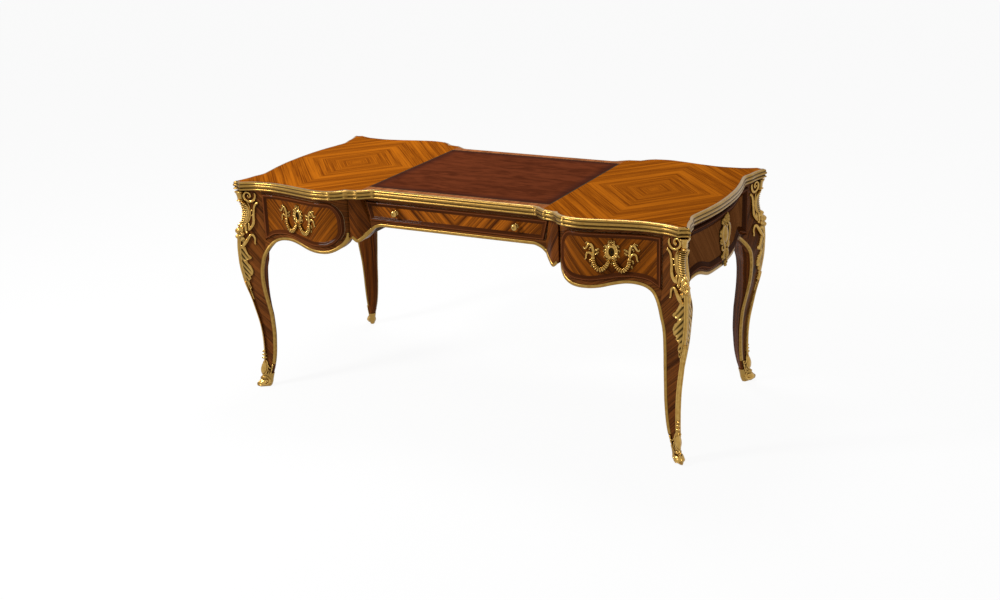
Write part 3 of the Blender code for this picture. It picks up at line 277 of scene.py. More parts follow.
def make_piece(name, patches, finishes, body, nodes, sharp=38, mortises=()):
    """Join grids into one welded mesh that faces outwards, cut its mortises, and put it on its CAD body."""
    counts = np.cumsum([0] + [item["points"].shape[0] * item["points"].shape[1] for item in patches])
    numbers = [start + np.arange(item["points"][..., 0].size).reshape(item["points"].shape[:2])
               for start, item in zip(counts, patches)]
    quads = [np.stack([n[:-1, :-1], n[1:, :-1], n[1:, 1:], n[:-1, 1:]], -1).reshape(-1, 4) for n in numbers]
    faces = np.concatenate(quads)
    points = np.concatenate([item["points"].reshape(-1, 3) for item in patches])
    grain = np.concatenate([item["grain"].reshape(-1, 2) for item in patches])
    proud = np.concatenate([item["proud"].reshape(-1) for item in patches])
    index = np.concatenate([np.full(len(q), item["finish"]) for q, item in zip(quads, patches)])
    mesh = bpy.data.meshes.new(name)
    mesh.from_pydata(points.tolist(), [], faces.tolist())
    mesh.uv_layers.new(name="grain").data.foreach_set("uv", grain[faces.ravel()].astype(np.float32).ravel())
    mesh.attributes.new("proud", "FLOAT", "POINT").data.foreach_set("value", proud.astype(np.float32))
    mesh.polygons.foreach_set("material_index", index.astype(np.int32))
    shell = bmesh.new()
    shell.from_mesh(mesh)
    bmesh.ops.remove_doubles(shell, verts=shell.verts, dist=2e-6)
    bmesh.ops.recalc_face_normals(shell, faces=shell.faces)
    if shell.calc_volume(signed=True) < 0:
        bmesh.ops.reverse_faces(shell, faces=shell.faces)
    shell.to_mesh(mesh)
    shell.free()
    mesh.shade_smooth()
    for finish in finishes:
        mesh.materials.append(finish)
    piece = bpy.data.objects.new(name, mesh)
    bpy.context.scene.collection.objects.link(piece)
    for low, high, finish in mortises:
        chisel_out(piece, low, high, finish)
    piece.data.set_sharp_from_angle(angle=math.radians(sharp))
    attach(piece, body)
    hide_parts(*nodes)
    return piece


def between(start, end, steps):
    """Grid of straight lines from each point of one line to its partner on the other."""
    t = np.linspace(0, 1, steps + 1)[:, None]
    return start[:, None] * (1 - t) + end[:, None] * t


def coons(bottom, right, top, left):
    """Surface between four border lines: the two ruled surfaces added, less the one of the corners."""
    s = np.linspace(0, 1, len(bottom))[:, None, None]
    t = np.linspace(0, 1, len(left))[None, :, None]
    corners = ((1 - s) * (1 - t) * bottom[0] + s * (1 - t) * bottom[-1]
               + (1 - s) * t * top[0] + s * t * top[-1])
    return ((1 - t) * bottom[:, None] + t * top[:, None] + (1 - s) * left[None] + s * right[None] - corners)


def closed_run(rings, **looks):
    """Rows of closed rings joined into a body: a skin round them, and a fan from each end's middle."""
    skin = np.concatenate([rings, rings[:, :1]], 1)
    caps = [np.stack([ring, np.broadcast_to(ring[:-1].mean(0), ring.shape)]) for ring in (skin[0], skin[-1])]
    return [patch(skin, **looks)] + [patch(cap, finish=looks.get("finish", 0)) for cap in caps]


def on_front(side=1, facing=1):
    """Place (across, depth, height) on the front, or on the back where facing is -1."""
    return lambda across, depth, height: np.stack(np.broadcast_arrays(side * across, -facing * depth, height),
                                                  -1)


def on_side(side):
    return lambda across, depth, height: np.stack(np.broadcast_arrays(side * depth, across, height), -1)


print("helpers ready")

# %% [markdown]
# ## Finishes
# Veneer is a thin slice of figured wood under a hand-rubbed polish. Its streaks run along the grain, so they
# are noise that is stretched along the grain map. The same group serves every board with its own colours.

# %% Small tools for materials


def node(tree, kind, inputs=(), **settings):
    """Add a node, set its options, and give each input a value or a link."""
    made = tree.nodes.new(kind)
    for key, value in settings.items():
        setattr(made, key, value)
    for key, value in dict(inputs).items():
        if isinstance(value, bpy.types.NodeSocket):
            tree.links.new(value, made.inputs[key])
        else:
            made.inputs[key].default_value = value
    return made


def new_group(name, inputs, outputs):
    """An empty shader group with named sockets, and the nodes inside that read and fill them."""
    group = bpy.data.node_groups.new(name, "ShaderNodeTree")
    for label, kind in inputs:
        group.interface.new_socket(label, in_out="INPUT", socket_type=f"NodeSocket{kind}")
    for label, kind in outputs:
        group.interface.new_socket(label, in_out="OUTPUT", socket_type=f"NodeSocket{kind}")
    return group, group.nodes.new("NodeGroupInput"), group.nodes.new("NodeGroupOutput")


def scaled(tree, vector, factors):
    return node(tree, "ShaderNodeVectorMath", {0: vector, 1: factors}, operation="MULTIPLY").outputs[0]


def noise(tree, vector, detail=3.0, roughness=0.55, distortion=0.0, scale=1.0):
    made = node(tree, "ShaderNodeTexNoise", {"Vector": vector, "Scale": scale, "Detail": detail,
                                             "Roughness": roughness, "Distortion": distortion})
    return made.outputs["Fac"]


def maths(tree, operation, a, b=0.0):
    return node(tree, "ShaderNodeMath", {0: a, 1: b}, operation=operation).outputs[0]


def blend(tree, share, a, b):
    made = node(tree, "ShaderNodeMix", {"Factor": share, 6: a, 7: b}, data_type="RGBA")
    return made.outputs[2]


def ramp(tree, value, low, high):
    made = node(tree, "ShaderNodeMapRange", {"Value": value, "From Min": low, "From Max": high},
                interpolation_type="SMOOTHSTEP")
    return made.outputs["Result"]


def new_material(name, **sockets):
    """A material with a Principled shader whose plain values are set on its own sockets."""
    material = bpy.data.materials.new(name)
    material.use_nodes = True
    shader = material.node_tree.nodes["Principled BSDF"]
    for key, value in sockets.items():
        shader.inputs[key.replace("_", " ")].default_value = value
    return material, material.node_tree, shader


# %% The figure of a veneer
FIGURE, given, made = new_group(
    "veneer_figure", (("Grain", "Vector"), ("Pale", "Color"), ("Dark", "Color"), ("Contrast", "Float")),
    (("Colour", "Color"), ("Roughness", "Float"), ("Height", "Float")))
grain = given.outputs["Grain"]
bands = noise(FIGURE, scaled(FIGURE, grain, (1.2, 34, 1)), 3, 0.6, 0.3)
streaks = noise(FIGURE, scaled(FIGURE, grain, (2.5, 230, 1)), 3, 0.7)
fibres = noise(FIGURE, scaled(FIGURE, grain, (30, 900, 1)), 2, 0.5)
mixed = maths(FIGURE, "ADD", maths(FIGURE, "MULTIPLY", bands, 0.40), maths(FIGURE, "MULTIPLY", streaks, 0.50))
mixed = maths(FIGURE, "ADD", mixed, maths(FIGURE, "MULTIPLY", fibres, 0.10))
darkness = maths(FIGURE, "MULTIPLY", ramp(FIGURE, mixed, 0.38, 0.62), given.outputs["Contrast"])
colour = blend(FIGURE, darkness, given.outputs["Pale"], given.outputs["Dark"])
FIGURE.links.new(colour, made.inputs["Colour"])
FIGURE.links.new(maths(FIGURE, "MULTIPLY_ADD", streaks, 0.12), made.inputs["Roughness"])
FIGURE.links.new(fibres, made.inputs["Height"])
for maker in FIGURE.nodes:
    if maker.type == "MATH" and maker.operation == "MULTIPLY_ADD":
        maker.inputs[2].default_value = 0.2


def veneer(name, pale, dark, contrast=1.0, gloss=0.3, coat=0.25, grain_from=None, painted_ridge_highlight=None):
    """Polished veneer: the figure group on the grain map, under a thin clear polish.

    A painted ridge highlight is for mouldings: a paler colour painted where the wood stands proudest, standing in
    for the shine of the polish there.
    """
    material, tree, shader = new_material(name, Specular_IOR_Level=gloss, Coat_Weight=coat,
                                          Coat_Roughness=0.12)
    if grain_from is None:
        source = node(tree, "ShaderNodeUVMap", uv_map="grain").outputs["UV"]
    else:
        source = grain_from(tree)
    figure = node(tree, "ShaderNodeGroup", {}, node_tree=FIGURE)
    tree.links.new(source, figure.inputs["Grain"])
    figure.inputs["Pale"].default_value = (*pale, 1)
    figure.inputs["Dark"].default_value = (*dark, 1)
    figure.inputs["Contrast"].default_value = contrast
    colour = figure.outputs["Colour"]
    if painted_ridge_highlight is not None:
        # Painted highlight: the colour turns paler where the proud value marks the crest.
        proud = node(tree, "ShaderNodeAttribute", attribute_name="proud").outputs["Fac"]
        colour = blend(tree, ramp(tree, proud, 0.55, 1.0), colour, (*painted_ridge_highlight, 1))
    tree.links.new(colour, shader.inputs["Base Color"])
    tree.links.new(figure.outputs["Roughness"], shader.inputs["Roughness"])
    bump = node(tree, "ShaderNodeBump",
                {"Height": figure.outputs["Height"], "Strength": 0.06, "Distance": 0.0004})
    tree.links.new(bump.outputs["Normal"], shader.inputs["Normal"])
    return material


LOZENGE_X = 0.576
LOZENGE_ANGLE = 40


def quartered(tree):
    """Fold the top about the middle of each end panel, so that four leaves of veneer meet in lozenges."""
    place = node(tree, "ShaderNodeTexCoord").outputs["Object"]
    parts = node(tree, "ShaderNodeSeparateXYZ", {"Vector": place})
    across = maths(tree, "ABSOLUTE",
                   maths(tree, "SUBTRACT", maths(tree, "ABSOLUTE", parts.outputs["X"]), LOZENGE_X))
    up = maths(tree, "ABSOLUTE", parts.outputs["Y"])
    c, s = math.cos(math.radians(LOZENGE_ANGLE)), math.sin(math.radians(LOZENGE_ANGLE))
    along = maths(tree, "SUBTRACT", maths(tree, "MULTIPLY", across, s), maths(tree, "MULTIPLY", up, c))
    over = maths(tree, "ADD", maths(tree, "MULTIPLY", across, c), maths(tree, "MULTIPLY", up, s))
    return node(tree, "ShaderNodeCombineXYZ", {"X": along, "Y": over}).outputs["Vector"]


TOP_LEAVES = veneer("quartered_top_veneer", (0.43, 0.119, 0.006), (0.108, 0.020, 0.002), 0.9, 0.0, 0.0,
                    quartered)
CROSSBAND = veneer("crossbanding", (0.38, 0.135, 0.048), (0.17, 0.054, 0.017), 1.0, 0.0, 0.0)
FIELD = veneer("drawer_field_veneer", (0.28, 0.076, 0.005), (0.038, 0.0085, 0.0015), 1.0, 0.02, 0.0)
CENTRE_FIELD = veneer("centre_field_veneer", (0.40, 0.108, 0.007), (0.052, 0.012, 0.002), 1.0, 0.02, 0.0)
FRIEZE = veneer("frieze_veneer_dark", (0.19, 0.057, 0.010), (0.036, 0.010, 0.002), 1.0, 0.03, 0.0)
PILASTER = veneer("pilaster_veneer", (0.18, 0.048, 0.006), (0.036, 0.009, 0.002), 1.0, 0.03, 0.0)
# The mouldings are dark polished wood with a painted highlight along their crest.
MOULDING = veneer("polished_moulding", (0.085, 0.021, 0.004), (0.032, 0.009, 0.002), 1.0, 0.0, 0.05,
                  painted_ridge_highlight=(0.20, 0.060, 0.018))
SIDE_FIELD = veneer("side_field_veneer", (0.26, 0.096, 0.028), (0.15, 0.050, 0.013), 1.0, 0.0, 0.0)
CARCASE = veneer("carcase_wood", (0.085, 0.038, 0.016), (0.04, 0.018, 0.008), 1.0, 0.05, 0.0)
print("veneers:", [m.name for m in bpy.data.materials if "veneer" in m.name])

# %% [markdown]
# Gilt bronze is painted bright on its crests and brown in the hollows: a painted highlight and painted shade,
# mixed with patches of patina. The pieces carry an attribute for how proud a point stands, and the group turns
# it into colour and gloss.

# %% Gilt bronze, leather, linings and steel
GILDING, given, made = new_group("gilding_painted_shine_and_patina",
                                 (("Proud", "Float"), ("Place", "Vector"), ("Bright", "Color"),
                                                       ("Aged", "Color"), ("Hollow", "Color"),
                                                       ("Dull", "Float")),
                                 (("Colour", "Color"), ("Roughness", "Float"), ("Height", "Float")))
patina = noise(GILDING, given.outputs["Place"], 4, 0.6, 0.0, 70)
speckle = noise(GILDING, given.outputs["Place"], 3, 0.6, 0.0, 420)
# worn is the proud value plus patina noise: it masks a painted highlight on the crests and painted shade in the
# hollows, as well as patches of patina.
worn = maths(GILDING, "ADD", given.outputs["Proud"], maths(GILDING, "MULTIPLY", patina, 0.5))
painted_shine_and_patina = ramp(GILDING, worn, 0.30, 1.10)
warm = blend(GILDING, ramp(GILDING, patina, 0.3, 0.7), given.outputs["Bright"], given.outputs["Aged"])
GILDING.links.new(blend(GILDING, painted_shine_and_patina, given.outputs["Hollow"], warm), made.inputs["Colour"])
dull = maths(GILDING, "SUBTRACT", given.outputs["Dull"], maths(GILDING, "MULTIPLY", painted_shine_and_patina, 0.20))
GILDING.links.new(maths(GILDING, "ADD", dull, maths(GILDING, "MULTIPLY", speckle, 0.04)),
                  made.inputs["Roughness"])
GILDING.links.new(speckle, made.inputs["Height"])


def gilt(name, bright, aged, hollow, dull):
    """Gilt bronze: a painted highlight where it stands proud, painted shade in the hollows, and aged in patches.
    """
    material, tree, shader = new_material(name, Metallic=1.0)
    gilding = node(tree, "ShaderNodeGroup", {}, node_tree=GILDING)
    tree.links.new(node(tree, "ShaderNodeAttribute", attribute_name="proud").outputs["Fac"],
                   gilding.inputs["Proud"])
    tree.links.new(node(tree, "ShaderNodeTexCoord").outputs["Object"], gilding.inputs["Place"])
    for socket, colour in (("Bright", bright), ("Aged", aged), ("Hollow", hollow)):
        gilding.inputs[socket].default_value = (*colour, 1)
    gilding.inputs["Dull"].default_value = dull
    tree.links.new(gilding.outputs["Colour"], shader.inputs["Base Color"])
    tree.links.new(gilding.outputs["Roughness"], shader.inputs["Roughness"])
    cast = node(tree, "ShaderNodeBump",
                {"Height": gilding.outputs["Height"], "Strength": 0.015, "Distance": 0.0005})
    tree.links.new(cast.outputs["Normal"], shader.inputs["Normal"])
    return material


# The hollow colours are painted shade, with patina, where the proud value is low; the bright colours carry the
# painted highlight.
GILT = gilt("gilt_bronze_drawn", (0.37, 0.220, 0.055), (0.28, 0.155, 0.034), (0.050, 0.026, 0.006), 0.46)
GILT_CAST = gilt("gilt_bronze_chased", (0.52, 0.325, 0.090), (0.38, 0.215, 0.050), (0.034, 0.018, 0.004),
                 0.38)

LEATHER, tree, shader = new_material("writing_leather_red_brown", Specular_IOR_Level=0.0)
place = node(tree, "ShaderNodeTexCoord").outputs["Object"]
streaked = scaled(tree, place, (0.3, 1.0, 1.0))
cloud = noise(tree, streaked, 4, 0.6, 0.8, 22)
sponge = noise(tree, streaked, 3, 0.65, 0.3, 75)
mottle = ramp(tree,
              maths(tree, "ADD", maths(tree, "MULTIPLY", cloud, 0.6), maths(tree, "MULTIPLY", sponge, 0.4)),
              0.36, 0.64)
hide = blend(tree, mottle, (0.132, 0.031, 0.011, 1), (0.070, 0.016, 0.006, 1))
parts = node(tree, "ShaderNodeSeparateXYZ", {"Vector": place})
rim_x = maths(tree, "SUBTRACT", LEATHER_LENGTH / 2, maths(tree, "ABSOLUTE", parts.outputs["X"]))
rim_y = maths(tree, "SUBTRACT", LEATHER_DEPTH / 2, maths(tree, "ABSOLUTE", parts.outputs["Y"]))
rim = maths(tree, "MINIMUM", rim_x, rim_y)
line = maths(tree, "SUBTRACT", 1.0, ramp(tree, rim, 0.0040, 0.0055))
# The leather turns darker within 50 mm of its rim.
darker_near_rim = maths(tree, "MULTIPLY", maths(tree, "SUBTRACT", 1.0, ramp(tree, rim, 0.004, 0.050)), 0.8)
tooled = maths(tree, "SUBTRACT", ramp(tree, rim, 0.019, 0.0195), ramp(tree, rim, 0.0215, 0.022))
dark = maths(tree, "MAXIMUM", darker_near_rim, maths(tree, "MULTIPLY", tooled, 0.7))
hide = blend(tree, dark, hide, (0.042, 0.013, 0.009, 1))
tree.links.new(blend(tree, line, hide, (0.052, 0.040, 0.026, 1)), shader.inputs["Base Color"])
tree.links.new(maths(tree, "ADD", maths(tree, "MULTIPLY", sponge, 0.2), 0.36), shader.inputs["Roughness"])
pebble = node(tree, "ShaderNodeTexVoronoi", {"Vector": place, "Scale": 900.0}).outputs["Distance"]
pressed = maths(tree, "SUBTRACT", pebble, maths(tree, "MULTIPLY", tooled, 2.0))
grain_bump = node(tree, "ShaderNodeBump", {"Height": pressed, "Strength": 0.25, "Distance": 0.0006})
tree.links.new(grain_bump.outputs["Normal"], shader.inputs["Normal"])


def along_boards(tree):
    """Grain of the plain boards inside: along Y, from the object's own places."""
    parts = node(tree, "ShaderNodeSeparateXYZ",
                 {"Vector": node(tree, "ShaderNodeTexCoord").outputs["Object"]})
    over = maths(tree, "ADD", parts.outputs["X"], parts.outputs["Z"])
    return node(tree, "ShaderNodeCombineXYZ", {"X": parts.outputs["Y"], "Y": over}).outputs["Vector"]


LINING = veneer("oak_lining", (0.47, 0.31, 0.16), (0.30, 0.18, 0.085), 0.8, 0.25, 0.0, along_boards)
STEEL, tree, shader = new_material("lock_steel_filed", Metallic=1.0)
place = node(tree, "ShaderNodeTexCoord").outputs["Object"]
filed = noise(tree, scaled(tree, place, (60, 60, 900)), 3)
tree.links.new(blend(tree, filed, (0.38, 0.37, 0.35, 1), (0.55, 0.53, 0.50, 1)), shader.inputs["Base Color"])
tree.links.new(maths(tree, "ADD", maths(tree, "MULTIPLY", filed, 0.25), 0.25), shader.inputs["Roughness"])

for name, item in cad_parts.items():
    item.data.materials.clear()
    item.data.materials.append(STEEL if name.startswith("lock_") else LINING)
print("materials:", len(bpy.data.materials))

# %% [markdown]
# ## The outline of the top
# The top follows the frieze with an even overhang: over the pilasters, in to a sharp break, round the end
# block and out to a canted corner. It is drawn once, anticlockwise, and the panel and its edge both use it.

# %% Outline
END_X = from_tip(BREAK_X, 0.26 * (JOINT_X - BREAK_X), JOINT_X, 26, 44)
CANT_REACH = 0.0355
CANT_FRONT_IN = 0.002
CANT_SIDE_OUT = 0.0215


def corner_sweep(start, end, powers, steps=14):
    """Run out to a canted corner: each coordinate goes as its own power of the way along."""
    t = np.linspace(0, 1, steps + 1)[1:, None]
    return np.array(start) + (np.array(end) - start) * np.concatenate([t ** powers[0], t ** powers[1]], 1)


pilaster_x = np.linspace(SLANT_FOOT_X, PILASTER_X, 25)
search = np.linspace(BREAK_X, BREAK_X + 0.05 * (JOINT_X - BREAK_X), 400)
CUSP_X = search[np.argmax(end_depth(search) >= centre_depth(PILASTER_X))]
block_x = END_X[END_X > CUSP_X + 2 * GAP]
half_front = np.concatenate([
    np.stack([np.linspace(0.27, SLANT_FOOT_X, 14)[:-1], np.full(13, CENTRE_Y + OVERHANG)], 1),
    np.stack([pilaster_x, centre_depth(pilaster_x) + OVERHANG], 1),
    [(CUSP_X, centre_depth(PILASTER_X) + OVERHANG)],
    np.stack([block_x, end_depth(block_x) + OVERHANG], 1),
    corner_sweep((JOINT_X, FACE_Y + OVERHANG), (FOOT_X - CANT_FRONT_IN, FOOT_Y + CANT_REACH), (1, 1.6))])
# The overhang is square to the slope of the pilaster, so its edge lies nearer the middle than its face
EDGE_SHIFT = ((0.27, 0), (0.30, 0.018), (0.3295, 0.024), (0.36, 0.020), (0.3875, 0.012), (0.45, 0.010),
              (0.62, 0))
half_front[:, 0] -= smooth(EDGE_SHIFT, half_front[:, 0])
side_y = np.linspace(-JOINT_Y, JOINT_Y, 81)
side_run = np.stack([side_depth(side_y) + OVERHANG, side_y], 1)
side_corner = corner_sweep(side_run[-1], (FOOT_X + CANT_REACH, FOOT_Y + CANT_SIDE_OUT), (1.6, 1))
cant_share = np.array([0.20, 0.26, 0.5, 0.74, 0.80])[:, None]
cant = half_front[-1] + (side_corner[-1] - half_front[-1]) * cant_share
RIGHT_EDGE = np.concatenate([cant * (1, -1), side_corner[::-1] * (1, -1), side_run, side_corner, cant[::-1]])
FRONT_EDGE = np.concatenate([half_front[::-1] * (-1, -1), half_front * (1, -1)])
OUTLINE = np.concatenate([FRONT_EDGE, RIGHT_EDGE, -FRONT_EDGE, -RIGHT_EDGE])
print("outline points:", len(OUTLINE), "reach:", OUTLINE.max(0).round(4))

# %% [markdown]
# ## Top panel and leather
# The panel is a board whose ends are quartered veneer, with a shallow bed for the leather and a cross-banded
# strip in front of and behind it. Each end is a surface spanned between its four border lines, because its
# side is wavy and straight rows would leave the outline.

# %% Top panel
cant_count = len(cant_share)
panel_side = RIGHT_EDGE[cant_count:-cant_count]
panel_line = inset_loop(np.concatenate([FRONT_EDGE, panel_side, -FRONT_EDGE, -panel_side]), EDGE_DEPTH + GAP)
panel_front = panel_line[:len(FRONT_EDGE)]
panel_right = panel_line[len(FRONT_EDGE):len(FRONT_EDGE) + len(panel_side)]
half_leather = np.array([LEATHER_LENGTH, LEATHER_DEPTH]) / 2
bed_x = np.linspace(-half_leather[0], half_leather[0], 33)
strip_y = np.interp(bed_x, panel_front[:, 0], panel_front[:, 1])
end_front = panel_front[panel_front[:, 0] > half_leather[0] + GAP]
end_front = np.concatenate([[(half_leather[0], strip_y[-1])], end_front])
end_right = np.concatenate([end_front[-1:], panel_right, end_front[-1:] * (1, -1)])
STRIP_STEPS = 6
bed_steps = len(end_right) - 1 - 2 * STRIP_STEPS
end_left_y = np.concatenate([np.linspace(strip_y[-1], -half_leather[1], STRIP_STEPS + 1),
                             np.linspace(-half_leather[1], half_leather[1], bed_steps + 1)[1:-1],
                             np.linspace(half_leather[1], -strip_y[-1], STRIP_STEPS + 1)])
end_left = np.stack([np.full(len(end_left_y), half_leather[0]), end_left_y], 1)
end_board = coons(end_front, end_right, end_front * (1, -1), end_left)
bed_y = end_left_y[STRIP_STEPS:-STRIP_STEPS]
strip = between(np.stack([bed_x, strip_y], 1), np.stack([bed_x, np.full(33, -half_leather[1])], 1),
                STRIP_STEPS)
bed = np.stack(np.meshgrid(bed_x, bed_y, indexing="ij"), -1)


def level(flat, z):
    """Lift a grid of (x, y) to the height z."""
    return np.concatenate([flat, np.broadcast_to(z, flat.shape[:2])[..., None]], -1)


BED_Z = HEIGHT - LEATHER_THICKNESS
strip_grain = laid(strip[..., 0], strip[..., 1], 90)
patches = []
for sx in (1, -1):
    patches += [patch(level(end_board * (sx, 1), HEIGHT)),
                patch(level(end_board * (sx, 1), UNDERSIDE), finish=2)]
for sy in (1, -1):
    patches += [patch(level(strip * (1, sy), HEIGHT), strip_grain, 1),
                patch(level(strip * (1, sy), UNDERSIDE), finish=2)]
patches += [patch(level(bed, BED_Z), finish=2), patch(level(bed, UNDERSIDE), finish=2)]
bed_rim = np.concatenate([bed[:, 0], bed[-1, 1:], bed[::-1, -1][1:], bed[0, ::-1][1:]])
rim_line = np.concatenate([np.stack([bed_x, strip_y], 1), end_front[1:], panel_right])
rim_line = np.concatenate([rim_line, end_front[::-1] * (1, -1), (np.stack([bed_x, -strip_y], 1))[::-1][1:],
                           end_front[1:] * (-1, -1), -panel_right, end_front[::-1] * (-1, 1)])
for loop, low in ((bed_rim, BED_Z), (rim_line, UNDERSIDE)):
    patches.append(patch(np.stack([level(loop[:, None], low)[:, 0], level(loop[:, None], HEIGHT)[:, 0]]),
                         finish=2))
make_piece("top_board", patches, [TOP_LEAVES, CROSSBAND, CARCASE], "frame", ["top_panel"])
print("end board grid", end_board.shape)

# %% Leather
LEATHER_ROUND = 0.0008


def pad_profile(half, steps, edge):
    """Places across a thin skin: close together within its rounded edge."""
    inner = np.linspace(-half + edge, half - edge, steps)
    turn = edge * (1 - np.cos(np.linspace(0, math.pi / 2, 5)))
    return np.concatenate([-half + turn[:-1], inner, (half - turn[:-1])[::-1]])


skin_x = pad_profile(half_leather[0], 41, LEATHER_ROUND)
skin_y = pad_profile(half_leather[1], 37, LEATHER_ROUND)
X, Y = np.meshgrid(skin_x, skin_y, indexing="ij")
rim_distance = np.minimum(half_leather[0] - np.abs(X), half_leather[1] - np.abs(Y))
fall = np.clip(1 - rim_distance / LEATHER_ROUND, 0, 1)
groove = 0.0003 * np.exp(-((rim_distance - 0.0205) / 0.0012) ** 2)
skin_z = HEIGHT - LEATHER_ROUND * (1 - np.sqrt(1 - fall ** 2)) - groove
skin_low = np.full_like(X, BED_Z + GAP)
rim_index = np.concatenate([np.stack([X[:, 0], Y[:, 0], skin_z[:, 0]], 1),
                            np.stack([X[-1], Y[-1], skin_z[-1]], 1)[1:],
                            np.stack([X[:, -1], Y[:, -1], skin_z[:, -1]], 1)[::-1][1:],
                            np.stack([X[0], Y[0], skin_z[0]], 1)[::-1][1:]])
rim_low = rim_index * (1, 1, 0) + (0, 0, BED_Z + GAP)
make_piece("writing_leather", [patch(np.stack([X, Y, skin_z], -1)), patch(np.stack([X, Y, skin_low], -1)),
                               patch(np.stack([rim_index, rim_low]))],
           [LEATHER], "frame", ["leather_inset"])
print("leather", LEATHER_LENGTH, "by", LEATHER_DEPTH)

# %% [markdown]
# ## Gilt edge of the top
# A cast moulding runs round the top in four lengths: a narrow bead, a hollow, a fat reed and an ovolo below.
# The profile is moved in from the outline by its own distance at each height, so it turns every corner in a
# true mitre. At the two breaks of the front it passes through two ringed sleeves.

# %% Edge mouldings
# The last value of each knot is how proud the point counts for the gilding: low values paint shade into the
# hollows between the reeds, high ones paint a highlight on their crests.
EDGE_KNOTS = ((0, 0.0120, 0.0, 0.3), (1, 0.0040, 0.0, 0.6), (2, 0.0018, 0.0008, 0.9),
              (3, 0.0006, 0.0030, 1.0), (4, 0.0014, 0.0056, 0.7), (5, 0.0042, 0.0078, 0.1),
              (6, 0.0046, 0.0096, 0.0), (7, 0.0034, 0.0104, 0.4), (8, 0.0010, 0.0125, 0.9),
              (9, 0.0000, 0.0158, 1.0), (10, 0.0008, 0.0190, 0.7), (11, 0.0028, 0.0210, 0.1),
              (12, 0.0030, 0.0222, 0.1), (13, 0.0022, 0.0236, 0.6), (14, 0.0028, 0.0262, 1.0),
              (15, 0.0052, 0.0285, 1.0), (16, 0.0082, 0.0297, 0.9), (17, 0.0120, 0.0300, 0.7))
CANT_RECESS = 0.0028
at_cant = np.concatenate([np.zeros(len(FRONT_EDGE)), [0, 1, 1, 1, 0], np.zeros(len(RIGHT_EDGE) - 10),
                          [0, 1, 1, 1, 0]])
recess = CANT_RECESS * np.tile(at_cant, 2)
SLEEVES = ((0.300, 0.352), (0.384, 0.434))
SLEEVE_RISE = 0.0042
RING_HALF = 0.0042
profile_at = np.linspace(0, 17, 52)
profile_inset, profile_height, profile_proud = (smooth([(k[0], k[i]) for k in EDGE_KNOTS], profile_at)
                                                for i in (1, 2, 3))
on_long_side = np.arange(len(OUTLINE)) % (len(FRONT_EDGE) + len(RIGHT_EDGE)) < len(FRONT_EDGE)
across = np.where(on_long_side, np.abs(OUTLINE[:, 0]), 0)
sleeve, ring = np.zeros(len(OUTLINE)), np.zeros(len(OUTLINE))
for low, high in SLEEVES:
    inside = np.minimum(across - low, high - across)
    sleeve = np.maximum(sleeve, np.clip(inside / 0.003 + 1, 0, 1))
    ring = np.maximum(ring, np.clip(1 - (np.abs(inside - RING_HALF) / RING_HALF) ** 2, 0, 1))
swell = SLEEVE_RISE * (0.45 * sleeve + 0.55 * np.sqrt(ring))
body_of_profile = np.clip((EDGE_DEPTH - profile_inset) / 0.006, 0, 1)
rounded = 0.0005 + 0.0070 * np.abs(profile_height / TOP_THICKNESS * 2 - 1) ** 3
filled = np.where(profile_inset < EDGE_DEPTH - 0.002, rounded, profile_inset)
loops = np.stack([level(inset_loop(OUTLINE, inset + (full_in - inset) * 0.25 * sleeve
                                   + (recess - swell) * full)[:, None],
                        UNDERSIDE + z)[:, 0]
                  for inset, full_in, z, full in zip(profile_inset, filled, profile_height, body_of_profile)],
                  1)
runs = {"front": (0, len(FRONT_EDGE)), "right": (len(FRONT_EDGE) - 1, len(RIGHT_EDGE) + 2),
        "back": (len(FRONT_EDGE) + len(RIGHT_EDGE), len(FRONT_EDGE)),
        "left": (2 * len(FRONT_EDGE) + len(RIGHT_EDGE) - 1, len(RIGHT_EDGE) + 2)}
for name, (start, count) in runs.items():
    order = (start + np.arange(count)) % len(OUTLINE)
    rings = loops[order].copy()
    if name in ("front", "back"):
        rings[[0, -1], :, 0] -= np.sign(rings[[0, -1], :, 0]) * GAP
    # Painted shade in the hollows of the profile, and a painted highlight on the rings of the sleeves.
    plain = 0.12 + 0.68 * np.concatenate([profile_proud, profile_proud[:1]])[None]
    shine = plain + (1 - plain) * ring[order][:, None] * sleeve[order][:, None]
    make_piece(f"gilt_edge_{name}", closed_run(rings, proud=shine), [GILT], "frame",
               [f"edge_moulding_{name}"], sharp=50)
print("edge profile points:", len(profile_at))

# %% [markdown]
# ## Cabriole legs
# A leg is sawn from the solid and veneered on its two shown faces, which meet in a sharp arris. Its section
# has five corners that drift with height, so the leg is those corners joined by grids. The fibres climb
# towards the arris on both faces.

# %% Legs


def leg_corners(z):
    """Five corners of a leg at each height, from the middle of the foot: arris, then round to the side."""
    arris, inner, plane, depth = leg_lines(z)
    hidden = plane - depth
    return np.stack([np.stack([arris * DIAGONAL[0], arris * DIAGONAL[1]], -1), np.stack([-inner, plane], -1),
                     np.stack([-inner, hidden], -1), np.stack([hidden, -inner], -1),
                     np.stack([plane, -inner], -1)], -2)


def stand(points, z, sx, sy):
    """Put places measured from the middle of a foot on one of the four legs."""
    z = np.broadcast_to(z, points.shape[:-1])
    return np.stack([sx * (FOOT_X + points[..., 0]), sy * (FOOT_Y + points[..., 1]), z], -1)


